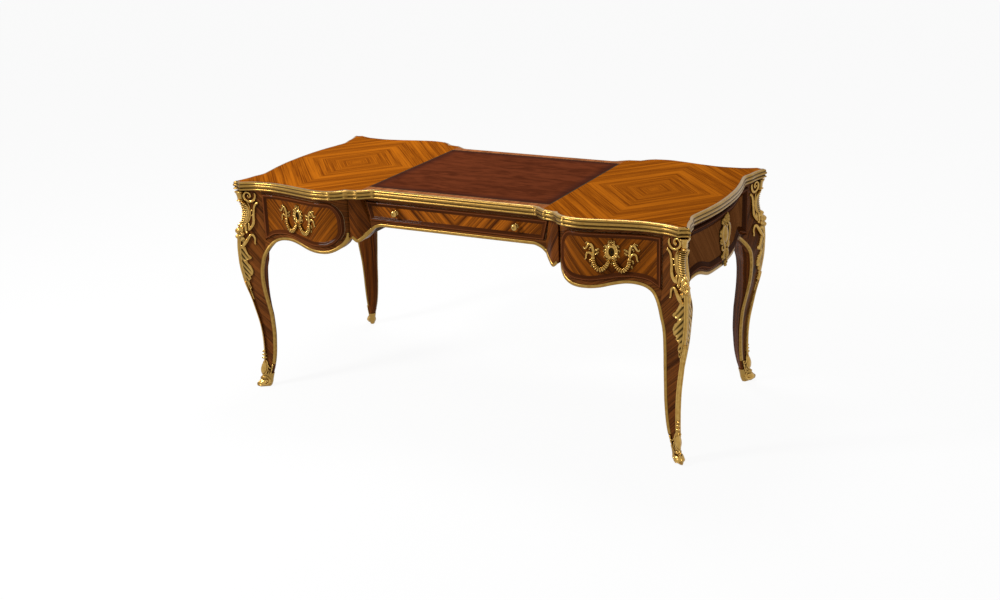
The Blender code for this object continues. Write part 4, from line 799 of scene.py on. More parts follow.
leg_z = np.linspace(0.006 + GAP, FRIEZE_TOP, 121)
corners = leg_corners(leg_z)
FACE_STEPS = 8
for name, sx, sy in CORNERS:
    patches = []
    for i in range(5):
        shown = i in (0, 4)
        face = between(corners[:, i], corners[:, (i + 1) % 5], FACE_STEPS if shown else 3)
        from_arris = np.linalg.norm(face - corners[:, :1], axis=-1)
        Z = np.broadcast_to(leg_z[:, None], face.shape[:2])
        fibres = (laid(-from_arris, Z, 48, i + 2 * sx + sy) if shown
                  else laid(np.linalg.norm(face - face[:, :1], axis=-1), Z, 90, i))
        patches.append(patch(stand(face, Z, sx, sy), fibres, 0 if shown else 1))
    ring = np.concatenate([p["points"][:, :-1] for p in patches], 1)
    patches += [dict(item, finish=1) for item in closed_run(ring[[0, -1]])[1:]]
    make_piece(f"cabriole_leg_{name}", patches, [FRIEZE, PILASTER], "frame", [f"leg_{name}"],
               sharp=25)
print("leg rows:", len(leg_z))

# %% [markdown]
# ## Front frieze
# Each end apron is a C of veneered wood round its drawer: under it, round its inner end and over it. The C is
# one grid from the outer edge to the edge of the opening, carried back to the board's thickness.

# %% The drawer openings
TIP_X = BREAK_X + 0.013
POINT_X = BREAK_X + END_OPENING[-2][0] * (JOINT_X - BREAK_X)
opening_x = np.unique(np.append(from_tip(TIP_X, 0.076, POINT_X, 22, 38), [PULL_X, JOINT_X]))
opening_low = np.where(opening_x < TIP_X + 0.076,
                       quarter(opening_x, TIP_X, TIP_X + 0.076, UNDERSIDE - 0.110,
                               UNDERSIDE - END_OPENING[0][1]),
                       UNDERSIDE - smooth(END_OPENING, block_share(opening_x)))
opening_high = quarter(opening_x, TIP_X, TIP_X + 0.048, UNDERSIDE - 0.085, RAIL_LOW)
lean = (SLANT_HEAD_X - SLANT_FOOT_X) / SLANT_DROP
CENTRE_LOW = UNDERSIDE - 0.085
low_x, high_x = (SLANT_FOOT_X + (z - UNDERSIDE + SLANT_DROP) * lean - 0.006 for z in (CENTRE_LOW, RAIL_LOW))
centre_x = np.linspace(-1, 1, 61)


def outline_of(low, high, end_steps):
    """Closed outline of a panel: along its lower line, up its end, back along the upper and down."""
    right = between(low[-1:], high[-1:], end_steps)[0, 1:-1]
    left = between(high[:1], low[:1], end_steps)[0, 1:-1]
    return np.concatenate([low, right, high[::-1], left])


END_ENDS = 8
END_OUTLINE = outline_of(np.stack([opening_x, opening_low], 1), np.stack([opening_x, opening_high], 1),
                         END_ENDS)
CENTRE_ENDS = 10
CENTRE_OUTLINE = outline_of(np.stack([centre_x * low_x, np.full(61, CENTRE_LOW)], 1),
                            np.stack([centre_x * high_x, np.full(61, RAIL_LOW)], 1), CENTRE_ENDS)
print("end opening", round(np.ptp(opening_x), 4), "wide; centre", round(2 * high_x, 4))

# %% End aprons and the centre frame


APRON_CHAMFER = 0.044
APRON_CHAMFER_TOP = 0.585
APRON_CHAMFER_RISE = 0.080
LOCK_X = 0.5831
BOLT_ROOM = ((-0.0094, -0.3336, 0.7300), (0.0094, -0.3268, 0.7450))
CASE_ROOM = ((-0.0243, -0.3368, 0.6891), (0.0243, -0.3200, 0.7400))


def at_lock(room, side, finish):
    """The room that a lock needs on one side of the table."""
    shift = np.array([side * LOCK_X, 0, 0])
    return room[0] + shift, room[1] + shift, finish


def boxed(outer, inner, depth, back, place, steps, fibres, closed):
    """A frame between two lines: its face, its back, and the two walls that join them."""
    face = between(outer, inner, steps)
    out = depth(face[..., 0], face[..., 1])
    front = place(face[..., 0], out, face[..., 1])
    hidden = back + APRON_CHAMFER * np.clip((APRON_CHAMFER_TOP - face[..., 1]) / APRON_CHAMFER_RISE, 0, 1)
    rear = place(face[..., 0], hidden, face[..., 1])
    walls = [between(front[:, i].reshape(-1, 3), rear[:, i].reshape(-1, 3), 3) for i in (0, -1)]
    patches = [patch(front, fibres(face[..., 0], face[..., 1])), patch(rear, finish=1)]
    patches += [patch(wall, laid(wall[..., 0], wall[..., 1], 0, 5)) for wall in walls]
    if not closed:
        for i in (0, -1):
            patches.append(patch(between(front[i], rear[i], 3), finish=1))
    return patches


apron_x = np.minimum(END_X, JOINT_X - GAP)[::-1]
spread = np.linspace(0, 1, len(apron_x))
hole_x = np.interp(spread, np.linspace(0, 1, len(opening_x)), np.minimum(opening_x, JOINT_X - GAP)[::-1])
hole_low = np.interp(hole_x, opening_x, opening_low)
hole_high = np.interp(hole_x, opening_x, opening_high)
tip_rise = np.linspace(0, 1, 15)[1:-1]
outer = np.concatenate([np.stack([apron_x, end_edge(apron_x)], 1),
                        np.stack([np.full(13, BREAK_X),
                                  UNDERSIDE - CORNER_DROP
                                  + tip_rise * (FRIEZE_TOP - UNDERSIDE + CORNER_DROP)], 1),
                        np.stack([apron_x[::-1], np.full(len(apron_x), FRIEZE_TOP)], 1)])
inner = np.concatenate([np.stack([hole_x, hole_low], 1),
                        np.stack([np.full(13, TIP_X), UNDERSIDE - 0.110 + tip_rise * 0.025], 1),
                        np.stack([hole_x, hole_high], 1)[::-1]])
for name, side in SIDES:
    patches = boxed(outer, inner, end_face, APRON_BACK_Y, on_front(side), 8,
                    lambda x, z: laid(x, z, 22, side), False)
    make_piece(f"apron_front_{name}", patches, [FRIEZE, CARCASE], "frame", [f"front_apron_{name}"],
               sharp=30, mortises=[at_lock(BOLT_ROOM, side, 1)])

SIDE_COUNT = 20
foot_z, shoulder_z = float(centre_edge(SLANT_FOOT_X)), UNDERSIDE - SLANT_DROP
edge_x = np.linspace(-1, 1, 121) * SLANT_FOOT_X
rise = np.linspace(0, 1, SIDE_COUNT + 1)
right_z = foot_z + rise * (FRIEZE_TOP - foot_z)
right_x = SLANT_FOOT_X + np.maximum(right_z - shoulder_z, 0) * lean - GAP
outer = np.concatenate([np.stack([edge_x, centre_edge(edge_x)], 1), np.stack([right_x, right_z], 1)[1:-1],
                        np.stack([np.linspace(1, -1, 121) * (right_x[-1]), np.full(121, FRIEZE_TOP)], 1),
                        np.stack([-right_x, right_z], 1)[::-1][1:-1]])
hole = np.linspace(-1, 1, 121)
rise = rise[1:-1]
inner = np.concatenate([np.stack([hole * low_x, np.full(121, CENTRE_LOW)], 1),
                        np.stack([low_x + rise * (high_x - low_x),
                                  CENTRE_LOW + rise * (RAIL_LOW - CENTRE_LOW)], 1),
                        np.stack([hole[::-1] * high_x, np.full(121, RAIL_LOW)], 1),
                        np.stack([-high_x + rise * (high_x - low_x),
                                  RAIL_LOW - rise * (RAIL_LOW - CENTRE_LOW)], 1)])
outer, inner = (np.concatenate([loop, loop[:1]]) for loop in (outer, inner))
patches = boxed(outer, inner, lambda x, z: np.full(x.shape, CENTRE_Y), CENTRE_BACK_Y, on_front(), 5,
                lambda x, z: laid(x, z, 0, 2), True)
make_piece("apron_front_center", patches, [FRIEZE, CARCASE], "frame", ["front_apron_center"],
           sharp=30)
print("aprons made")

# %% [markdown]
# A pilaster hides each break of the front. It swells forward, hangs a rounded pendant below the frieze, and
# carries the partition and the drawers' runners behind it.

# %% Pilasters with their partitions


CHAMFER_FOOT = 0.020
CHAMFER_RISE = 0.100


def shaped_board(x, low, high, depth, back, place, steps, fibres, swell=None):
    """A board with a curved face: front and back grids between two lines, and the walls round them."""
    face = between(np.stack([x, low], 1), np.stack([x, high], 1), steps)
    X, Z = face[..., 0], face[..., 1]
    D, B = (np.broadcast_to(np.reshape(line, (-1, 1)), X.shape) for line in (depth, back))
    if swell is not None:
        D = D + swell(X, Z)
        thick = D - B
        foot = np.minimum(thick, CHAMFER_FOOT)
        B = D - foot - (thick - foot) * np.clip((Z - Z[:, :1]) / CHAMFER_RISE, 0, 1)
    front, rear = place(X, D, Z), place(X, B, Z)
    patches = [patch(front, fibres(X, Z)), patch(rear, finish=1)]
    for i in (0, -1):
        wall = between(front[:, i], rear[:, i], 3)
        patches.append(patch(wall, laid(wall[..., 0], wall[..., 1], 0, 4)))
        wall = between(front[i], rear[i], 3)
        patches.append(patch(wall, laid(wall[..., 2], wall[..., 1], 0, 4)))
    return patches


def plank(low, high):
    """A plain board with eased edges: rings of a rounded rectangle, drawn in at both ends."""
    low, high = np.minimum(low, high), np.maximum(low, high)
    ease = 0.001
    turn = np.linspace(0, math.pi / 2, 4)
    arc = np.stack([np.cos(turn), np.sin(turn)], 1)
    spin = [np.array([[c, s], [-s, c]]) for c, s in ((1, 0), (0, 1), (-1, 0), (0, -1))]
    half = (high - low)[[0, 2]] / 2 - ease
    signs = np.array([(1, 1), (-1, 1), (-1, -1), (1, -1)])
    rounded = np.concatenate([sign * half + ease * (arc @ m) for sign, m in zip(signs, spin)])
    middle = (low + high)[[0, 2]] / 2
    rings = []
    for y, shrink in ((low[1], ease), (low[1] + ease, 0), (high[1] - ease, 0), (high[1], ease)):
        section = middle + rounded * (1 - shrink / (np.abs(rounded).max(0)))
        rings.append(np.stack([section[:, 0], np.full(len(section), y), section[:, 1]], 1))
    rings = np.array(rings)
    closing = np.concatenate([rings, rings[:, :1]], 1)
    return closed_run(rings, finish=1, grain=laid(closing[..., 0] + closing[..., 2], closing[..., 1], 90))


PARTITION_X = (PILASTER_X - 0.018, PILASTER_X)
END_RUN = UNDERSIDE - 0.142 - GAP
CENTRE_RUN = UNDERSIDE - 0.0775 - GAP
RUNNER = 0.012
half_run = CENTRE_BACK_Y - GAP
post_x = np.linspace(SLANT_FOOT_X + 3 * GAP, BREAK_X - GAP, 36)
post_x = np.unique(np.concatenate([post_x, [SLANT_HEAD_X]]))
slope = np.minimum(shoulder_z + (post_x - 3 * GAP - SLANT_FOOT_X) / lean, FRIEZE_TOP)
for name, side in SIDES:
    patches = shaped_board(post_x, centre_edge(np.minimum(post_x, PILASTER_X)), slope, centre_depth(post_x),
                           CENTRE_Y - 0.030, on_front(side), 16, lambda x, z: laid(x, z, 62, side))
    low, high = sorted((side * PARTITION_X[0], side * PARTITION_X[1]))
    patches += plank(np.array([low, -half_run, END_RUN - RUNNER]), np.array([high, half_run, FRIEZE_TOP]))
    reach = BREAK_X + 0.013 + 0.014 + 0.020
    patches += plank(np.array([side * (PILASTER_X - GAP), -half_run, END_RUN - RUNNER]),
                     np.array([side * reach, half_run, END_RUN]))
    reach = SLANT_FOOT_X - 0.0065 - 0.020
    patches += plank(np.array([side * (PARTITION_X[0] + GAP), -half_run, CENTRE_RUN - RUNNER]),
                     np.array([side * reach, half_run, CENTRE_RUN]))
    make_piece(f"pilaster_{name}", patches, [PILASTER, CARCASE], "frame", [f"partition_{name}"],
               sharp=30)
print("pilasters made")

# %% [markdown]
# ## Moulded panels
# Drawer fronts and side panels are framed by a raised moulding in darker polished wood. Its section is
# moved in from the panel's outline ring by ring, and the field inside the last ring is veneered with a
# chevron whose leaves mirror each other about the handle.

# %% A panel with a raised border
SHAM_GAP = 0.0065
SHAM_SEAT = 0.027
SHAM_CENTRE_SEAT = 0.011
SIDE_PANEL_SEAT = 0.015
DRAWER_BORDER = ((0, 0.0012), (0.0010, 0.0032), (0.0028, 0.0052), (0.0056, 0.0065), (0.0084, 0.0060),
                 (0.0110, 0.0046), (0.0136, 0.0028), (0.0156, 0.0022), (0.0166, 0.0017), (0.0176, 0.0010))


def moulded(low_count, end_steps, outline, depth, back, border, place, fibres, ring_steps=28):
    """A board with a curved face: rings of the border's section inside the outline, then a spanned field."""
    knots = np.array(border)
    at = np.linspace(0, knots[-1, 0], ring_steps)
    raised = smooth(border, at)
    loops = [inset_loop(outline, d) for d in at]
    closing = [np.concatenate([loop, loop[:1]]) for loop in loops]
    rings = np.stack([place(loop[:, 0], depth(loop[:, 0]) + h, loop[:, 1]) for loop,
                      h in zip(closing, raised)])
    # The proud value of the rings peaks at the crest: the mask of the painted highlight on the moulding.
    painted_ridge_highlight = np.exp(-((at - at[np.argmax(raised)]) / (0.09 * knots[-1, 0])) ** 2)[:, None]
    run = np.concatenate([[0], np.cumsum(np.linalg.norm(np.diff(closing[0], axis=0), axis=1))])
    along = np.stack([np.broadcast_to(run, rings.shape[:2]), np.broadcast_to(at[:, None], rings.shape[:2])],
                     -1)
    n, m = low_count, end_steps
    last = loops[-1]
    field = coons(last[:n], np.concatenate([last[n - 1:n + m]]), last[n + m - 1:2 * n + m - 1][::-1],
                  np.concatenate([last[2 * n + m - 2:], last[:1]])[::-1])
    X, Z = field[..., 0], field[..., 1]
    rear = coons(outline[:n], outline[n - 1:n + m], outline[n + m - 1:2 * n + m - 1][::-1],
                 np.concatenate([outline[2 * n + m - 2:], outline[:1]])[::-1])
    rear = place(rear[..., 0], np.full(rear.shape[:2], back), rear[..., 1])
    outside = closing[0]
    wall = np.stack([rings[0], place(outside[:, 0], np.full(len(outside), back), outside[:, 1])])
    return [patch(rings, along, 1, painted_ridge_highlight), patch(place(X, depth(X) + raised[-1], Z), fibres(X, Z)),
            patch(rear, laid(rear[..., 0], rear[..., 2], 0), 2),
            patch(wall, laid(wall[..., 0], wall[..., 1], 0), 2)]


def chevron(middle, angle, board):
    """Grain folded about an upright line, so that the leaves on its two sides mirror each other."""
    return lambda across, up: laid(np.abs(across - middle), up, angle, board)


SEAT = 0.0005
for name, side in SIDES:
    patches = moulded(len(opening_x), END_ENDS, inset_loop(END_OUTLINE, DRAWER_GAP), end_depth,
                      APRON_BACK_Y + SEAT, DRAWER_BORDER, on_front(side), chevron(PULL_X, 50, side))
    make_piece(f"drawer_face_{name}", patches, [FIELD, MOULDING, LINING], f"drawer_{name}",
               [f"drawer_{name}_front"], sharp=40, mortises=[at_lock(CASE_ROOM, side, 2)])
patches = moulded(61, CENTRE_ENDS, inset_loop(CENTRE_OUTLINE, DRAWER_GAP),
                  lambda x: np.full(x.shape, CENTRE_Y), CENTRE_BACK_Y + SEAT, DRAWER_BORDER, on_front(),
                  chevron(0, 46, 7))
make_piece("drawer_face_center", patches, [CENTRE_FIELD, MOULDING, LINING], "drawer_center",
           ["drawer_center_front"], sharp=40)
print("drawer faces made")

# %% [markdown]
# ## Back and sides
# A table like this stands free in a room, so its back repeats the front with sham drawers: the same lines and
# panels, on one glued-up board. The sides are gently waved boards with one large moulded panel each.

# %% Back frieze
back_half = np.concatenate([np.linspace(0, 0.28, 29), np.linspace(0.28, SLANT_FOOT_X, 15)[1:],
                            np.linspace(SLANT_FOOT_X, PILASTER_X, 25)[1:]])
block_part = np.minimum(END_X, JOINT_X - GAP)
half_x = np.concatenate([back_half, block_part])
on_block = half_x >= BREAK_X
half_low = np.where(on_block, end_edge(half_x), centre_edge(np.minimum(half_x, PILASTER_X)))
half_depth = np.where(on_block, end_depth(half_x), centre_depth(half_x))
half_back = np.where(on_block, FACE_Y - 0.054, CENTRE_BACK_Y)
x, low, depth, back = (np.concatenate([sign * line[:0:-1], line])
                       for line, sign in ((half_x, -1), (half_low, 1), (half_depth, 1), (half_back, 1)))
patches = shaped_board(x, low, np.full(len(x), FRIEZE_TOP), depth, back, on_front(1, -1), 12,
                       lambda across, up: laid(across, up, 12, 3), lambda a, z: flare(JOINT_X - np.abs(a), z))
FRIEZE_FINISHES = [FRIEZE, CARCASE, MOULDING, FIELD, SIDE_FIELD]


def with_finishes(items, order):
    return [dict(item, finish=order[item["finish"]]) for item in items]


for side in (-1, 1):
    sham = moulded(len(opening_x), END_ENDS, inset_loop(END_OUTLINE, SHAM_GAP), end_depth,
                   FACE_Y - SHAM_SEAT, DRAWER_BORDER, on_front(side, -1), chevron(PULL_X, 50, 2 * side))
    patches += with_finishes(sham, (3, 2, 1))
sham = moulded(61, CENTRE_ENDS, CENTRE_OUTLINE, lambda x: np.full(x.shape, CENTRE_Y), CENTRE_Y - SHAM_CENTRE_SEAT,
               DRAWER_BORDER, on_front(1, -1), chevron(0, 46, 9))
patches += with_finishes(sham, (3, 2, 1))
make_piece("frieze_back", patches, FRIEZE_FINISHES, "frame", ["back_frieze"], sharp=35)
print("back rows:", len(x))

# %% Side friezes
SIDE_BORDER = ((0, 0.0010), (0.0012, 0.0040), (0.004, 0.0070), (0.008, 0.0085), (0.012, 0.0080),
               (0.0155, 0.0066), (0.0185, 0.0050), (0.0205, 0.0042), (0.022, 0.0026), (0.025, 0.0010))
SIDE_INNER = FACE_X - 0.030
run_y = np.concatenate([[-JOINT_Y + GAP], np.linspace(-JOINT_Y, JOINT_Y, 121)[1:-1], [JOINT_Y - GAP]])
panel_y = np.concatenate([[-JOINT_Y], np.linspace(-0.8 * JOINT_Y, 0.8 * JOINT_Y, 89), [JOINT_Y]])
panel_low = UNDERSIDE - smooth(SIDE_PANEL, np.abs(panel_y) / JOINT_Y)
SIDE_ENDS = 12
side_outline = outline_of(np.stack([panel_y, panel_low], 1), np.stack([panel_y, np.full(91, RAIL_LOW)], 1),
                          SIDE_ENDS)
side_outline = inset_loop(side_outline, 0.0022)
for name, side in SIDES:
    place = on_side(side)
    patches = shaped_board(run_y, side_edge(run_y), np.full(len(run_y), FRIEZE_TOP), side_depth(run_y),
                           np.full(len(run_y), SIDE_INNER), place, 14, lambda y, z: laid(y, z, 20, 4 + side),
                           lambda y, z: flare(JOINT_Y - np.abs(y), z))
    panel = moulded(91, SIDE_ENDS, side_outline, side_depth, FACE_X - SIDE_PANEL_SEAT, SIDE_BORDER, place,
                    lambda y, z: laid(y, z, -52, 6 + side), 36)
    patches += with_finishes(panel, (4, 2, 1))
    reach = JOINT_X - 0.0105 - 0.020
    patches += plank(np.array([side * reach, -JOINT_Y + GAP, END_RUN - RUNNER]),
                     np.array([side * (SIDE_INNER + GAP), JOINT_Y - GAP, END_RUN]))
    make_piece(f"frieze_side_{name}", patches, FRIEZE_FINISHES, "frame", [f"side_frieze_{name}"],
               sharp=35)
print("side panels made")

# %% [markdown]
# ## Gilt strips
# A half-round strip of bronze guards the lower edge of the aprons and runs on down the inner edge of the
# legs. It lies between two lines on the face, and rises in a half round between them.

# %% Strips
STRIP_WIDTH = 0.010
STRIP_RISE = 0.0027
STRIP_LAP = 0.0012
STRIP_LIP = 0.0045


def strip_rings(low, high, depth, place, steps=9):
    """Rings across a strip: a half round from line to line, and a flat bed under it."""
    t = np.linspace(0, 1, steps)
    across = between(low + (low - high) * STRIP_LAP / STRIP_WIDTH, high, steps - 1)
    rise = STRIP_RISE * (0.25 + 0.75 * np.sqrt(np.clip(1 - (2 * t - 1) ** 2, 0, 1)))
    face = depth(across[..., 0], across[..., 1])
    top = place(across[..., 0], face + rise, across[..., 1])
    lip = 0.0003 + STRIP_LIP * np.clip(1 - t / 0.12, 0, 1)
    bed = place(across[..., 0], face - lip, across[..., 1])
    # Painted highlight along the middle of the half round, painted shade towards its edges; the bed stays mid
    # bright.
    shine = np.concatenate([0.45 + 0.5 * np.sin(math.pi * t), np.full(steps + 1, 0.7)])
    return np.concatenate([top, bed[:, ::-1]], 1), np.broadcast_to(shine, (len(low), len(shine)))


def leg_face_depth(across, z):
    """Depth of a leg's shown face at a place across it, on the straight line from arris to inner edge."""
    arris, inner, plane, _ = leg_lines(z)
    share = (across - FOOT_X + inner) / (arris * DIAGONAL[0] + inner)
    return plane + (arris * DIAGONAL[1] - plane) * share


def eased(line, reach=0.020, steps=260):
    """A line resampled at even steps and averaged with its neighbours within a reach, its ends kept in
    place.
    """
    run = np.concatenate([[0], np.cumsum(np.linalg.norm(np.diff(line, axis=0), axis=1))])
    even = np.linspace(0, run[-1], steps)
    points = np.stack([np.interp(even, run, line[:, i]) for i in (0, 1)], 1)
    half = max(int(reach / even[1]), 1)
    weights = np.hanning(2 * half + 3)[1:-1]
    before, after = 2 * points[:1] - points[half:0:-1], 2 * points[-1:] - points[-2:-half - 2:-1]
    wide = np.concatenate([before, points, after])
    return np.stack([np.convolve(wide[:, i], weights / weights.sum(), "valid") for i in (0, 1)], 1)


def strip_pair(line):
    """A line along an edge, and its partner one strip's width into the wood, square to it."""
    along = np.gradient(line, axis=0)
    along /= np.linalg.norm(along, axis=1)[:, None]
    return line, line + STRIP_WIDTH * np.stack([along[:, 1], -along[:, 0]], 1)


def face_and_leg(board, joint, foot, foot_depth):
    """Depth of the face under a strip: the board's own up to the joint, and the leg's beyond it."""
    def depth(a, z):
        on_its_leg = foot_depth + leg_face_depth(np.abs(a) - foot + FOOT_X, z)
        return np.where(np.abs(a) > joint, on_its_leg, board(np.clip(a, -joint, joint), z))
    return depth


strip_z = np.linspace(SABOT_HEIGHT + 2 * GAP, SPRING, 70)
leg_inner = leg_lines(strip_z)[1]
edge_run = END_X[END_X < JOINT_X - GAP][::-1]
end_pair = strip_pair(eased(np.concatenate([np.stack([FOOT_X - leg_inner, strip_z], 1),
                                            np.stack([edge_run, end_edge(edge_run)], 1)])))
centre_run = np.concatenate([np.linspace(PILASTER_X, 0.285, 50), np.linspace(0.285, -0.285, 61)[1:-1],
                             -np.linspace(0.285, PILASTER_X, 50)])
centre_pair = strip_pair(np.stack([centre_run, centre_edge(centre_run)], 1))
for row, facing in (("front", 1), ("back", -1)):
    for name, side in SIDES:
        rings, shine = strip_rings(*end_pair, face_and_leg(end_face, JOINT_X, FOOT_X, FOOT_Y),
                                   on_front(side, facing))
        make_piece(f"gilt_strip_{row}_{name}", closed_run(rings, proud=shine), [GILT], "frame",
                   [f"edge_strip_{row}_{name}"], sharp=50)
    rings, shine = strip_rings(*centre_pair, lambda a, z: centre_depth(a), on_front(1, facing))
    make_piece(f"gilt_strip_{row}_center", closed_run(rings, proud=shine), [GILT], "frame",
               [f"edge_strip_{row}_center"], sharp=50)
side_leg = np.stack([FOOT_Y - leg_inner, strip_z], 1)
side_strip_y = np.linspace(JOINT_Y, -JOINT_Y, 121)[1:-1]
side_line = np.concatenate([side_leg, np.stack([side_strip_y, side_edge(side_strip_y)], 1),
                            side_leg[::-1] * (-1, 1)])
side_pair = strip_pair(eased(side_line, steps=420))
for name, side in SIDES:
    rings, shine = strip_rings(*side_pair, face_and_leg(side_face, JOINT_Y, FOOT_Y, FOOT_X), on_side(side))
    make_piece(f"gilt_strip_side_{name}", closed_run(rings, proud=shine), [GILT], "frame",
               [f"edge_strip_side_{name}"], sharp=50)
print("strips made")

# %% [markdown]
# ## Gilt mounts
# The mounts are cast from wax models built up of a few forms: bars that curl into scrolls, leaves with a
# rolled edge, and round bosses. Here each form is drawn flat, as a place across and up the face and a
# height out of it, and a second function bends it onto the leg, the drawer or the side that carries it.

# %% Scrolls, leaves and bosses, drawn flat
BED = -0.0006


def curve_through(points, steps):
    """Smooth path through points: a uniform Catmull-Rom curve, each span a cubic of its four neighbours."""
    p = np.array(points, float)
    ends = np.concatenate([2 * p[:1] - p[1:2], p, 2 * p[-1:] - p[-2:-1]])
    at = np.linspace(0, len(p) - 1, steps)
    i = np.minimum(at.astype(int), len(p) - 2)
    t = (at - i)[:, None]
    a, b, c, d = (ends[i + k] for k in range(4))
    return 0.5 * (2 * b + (c - a) * t + (2 * a - 5 * b + 4 * c - d) * t ** 2
                  + (3 * b - a - 3 * c + d) * t ** 3)


def scroll(points, radii, steps=44, rise=0.45, sides=12, beads=0.0, closed=False):
    """A round bar along a path on the face: circles square to the path, their middle rise radii above it.

    The radius follows its own knots; beads, a spacing in metres, makes it swell and shrink like a husk chain.
    Returns rings of (across, up, out) and how proud each point stands, which paints a highlight along the top of
    the bar and shade at its sides and between its beads.
    """
    path = curve_through(points, steps)
    along = np.gradient(path, axis=0)
    if closed:
        along[[0, -1]] = path[1] - path[-2]
    along /= np.linalg.norm(along, axis=1)[:, None] + 1e-12
    normal = np.stack([-along[:, 1], along[:, 0]], 1)
    radius = smooth(np.stack([np.linspace(0, 1, len(radii)), radii], 1), np.linspace(0, 1, steps))
    length = np.concatenate([[0], np.cumsum(np.linalg.norm(np.diff(path, axis=0), axis=1))])
    if beads:
        radius = radius * (0.72 + 0.28 * np.abs(np.sin(math.pi * length / beads)))
    ends = np.minimum(length, length[-1] - length)
    if not closed:
        radius = radius * np.sqrt(np.clip(ends / (0.6 * radius), 0.02, 1))
    turn = np.linspace(0, 2 * math.pi, sides, endpoint=False)
    flat = path[:, None] + (radius[:, None] * np.cos(turn))[..., None] * normal[:, None]
    height = radius[:, None] * (rise + np.sin(turn))
    shine = np.clip(0.55 + 0.6 * np.sin(turn), 0.05, 1) * np.ones((steps, 1))
    if beads:
        shine = shine * (0.45 + 0.55 * np.abs(np.sin(math.pi * length / beads)))[:, None]
    return {"rings": np.concatenate([flat, height[..., None]], -1), "shine": shine, "closed": closed}


def boss(across, up, half_width, half_height, out, petals=0, depth=0.25, steps=9, around=28):
    """A dome on an oval base: out * sqrt(1 - t * t), with petals that dip between their ribs."""
    t = np.linspace(0, 1, steps)[:, None]
    turn = np.linspace(0, 2 * math.pi, around + 1)
    ribs = 1 - depth * (0.5 - 0.5 * np.cos(petals * turn)) * (t > 0) if petals else np.ones((steps,
                                                                                             around + 1))
    edge = 1 - 0.5 * depth * (0.5 - 0.5 * np.cos(petals * turn)) if petals else np.ones(around + 1)
    a = across + half_width * t * np.cos(turn) * edge
    b = up + half_height * t * np.sin(turn) * edge
    top = np.stack([a, b, BED + out * np.sqrt(1 - t ** 2) * ribs], -1)
    under = np.stack([a, b, np.full_like(a, BED)], -1)
    # Painted highlight on the crown and ribs, painted shade towards the rim and between the petals.
    shine = np.clip(ribs * 1.25 - 0.25, 0, 1) * (0.35 + 0.65 * np.sqrt(1 - 0.9 * t ** 2))
    return {"sheets": [(top, shine), (under, np.zeros_like(a))]}


LEAF_ROLL = 0.35


def leaf(spine, widths, out, veins, lobes, steps=60, across=15):
    """A leaf along a spine: its half width follows knots, notched into lobes, with a midrib and slanting
    veins.

    Its height is out * (1 - t ** 4), t running across it, plus the midrib and a rolled edge.
    """
    path = curve_through(spine, steps)
    along = np.gradient(path, axis=0)
    along /= np.linalg.norm(along, axis=1)[:, None]
    normal = np.stack([-along[:, 1], along[:, 0]], 1)
    s = np.linspace(0, 1, steps)
    half = smooth(np.stack([np.linspace(0, 1, len(widths)), widths], 1), s)
    saw = np.mod(s * veins, 1)
    half = half * (1 - lobes * saw ** 2) + 1e-5
    t = np.linspace(-1, 1, across)
    flat = path[:, None] + (half[:, None] * t)[..., None] * normal[:, None]
    slant = np.cos(2 * math.pi * (s[:, None] * veins - 0.55 * np.abs(t)))
    taper = np.sqrt(np.clip(np.minimum(s, 1 - s) / 0.06, 0, 1))[:, None]
    body = (1 - np.abs(t) ** 4) * (0.62 + LEAF_ROLL * np.abs(t)) + 0.30 * np.exp(-(t / 0.16) ** 2)
    height = BED + out * taper * np.maximum(body + 0.16 * slant * (1 - t ** 2) * np.abs(t),
                                            0) * (np.abs(t) < 1)
    # Painted highlight on the midrib and the rolled edge, painted shade in the slanting veins.
    shine = np.clip(0.55 + 0.35 * slant + 0.35 * np.exp(-(t / 0.16) ** 2) + 0.2 * np.abs(t), 0.05, 1)
    under = np.full_like(height, BED)
    return {"sheets": [(np.concatenate([flat, height[..., None]], -1), shine),
                       (np.concatenate([flat, under[..., None]], -1), np.zeros_like(height))]}


def ring_of(centre, radii, count=40):
    """Points of an ellipse, to carry a rim round a boss."""
    turn = np.linspace(0, 2 * math.pi, count)
    return np.stack([centre[0] + radii[0] * np.cos(turn), centre[1] + radii[1] * np.sin(turn)], 1)


def spiral(centre, outer, inner, turns, start, sense=1, count=26):
    """Points of a volute: the radius falls evenly as the angle turns."""
    t = np.linspace(0, 1, count)
    angle = math.radians(start) + sense * 2 * math.pi * turns * t
    radius = outer + (inner - outer) * t ** 0.8
    return np.stack([centre[0] + radius * np.cos(angle), centre[1] + radius * np.sin(angle)], 1)


def mount_patches(forms, bend):
    """Bend flat forms onto what carries them, and turn them into closed grids."""
    patches = []
    for form in forms:
        if "rings" in form:
            rings = bend(*np.moveaxis(form["rings"], -1, 0))
            shine = np.concatenate([form["shine"], form["shine"][:, :1]], 1)
            run = closed_run(rings, proud=shine)
            patches += run[:1] if form["closed"] else run
        else:
            patches += [patch(bend(*np.moveaxis(sheet, -1, 0)), proud=shine) for sheet,
                        shine in form["sheets"]]
    return patches


def mirrored(forms):
    """The same forms on the other side of the upright middle line."""
    flip = np.array([-1, 1, 1])
    return [dict(f, rings=f["rings"] * flip) if "rings" in f
            else {"sheets": [(sheet * flip, shine) for sheet, shine in f["sheets"]]} for f in forms]


print("forms for the mounts ready")

# %% [markdown]
# The corner mounts, or chutes, cling to the arris of each leg: a volute and a small capital at the head, a
# fluted shell with an open scroll beside it, a leafy knot, and a lobed acanthus leaf along a plain bar.
# They are drawn on the unfolded corner, with zero on the arris, so one drawing bends over both faces.

# %% Bending onto a leg
ROUND = 0.012


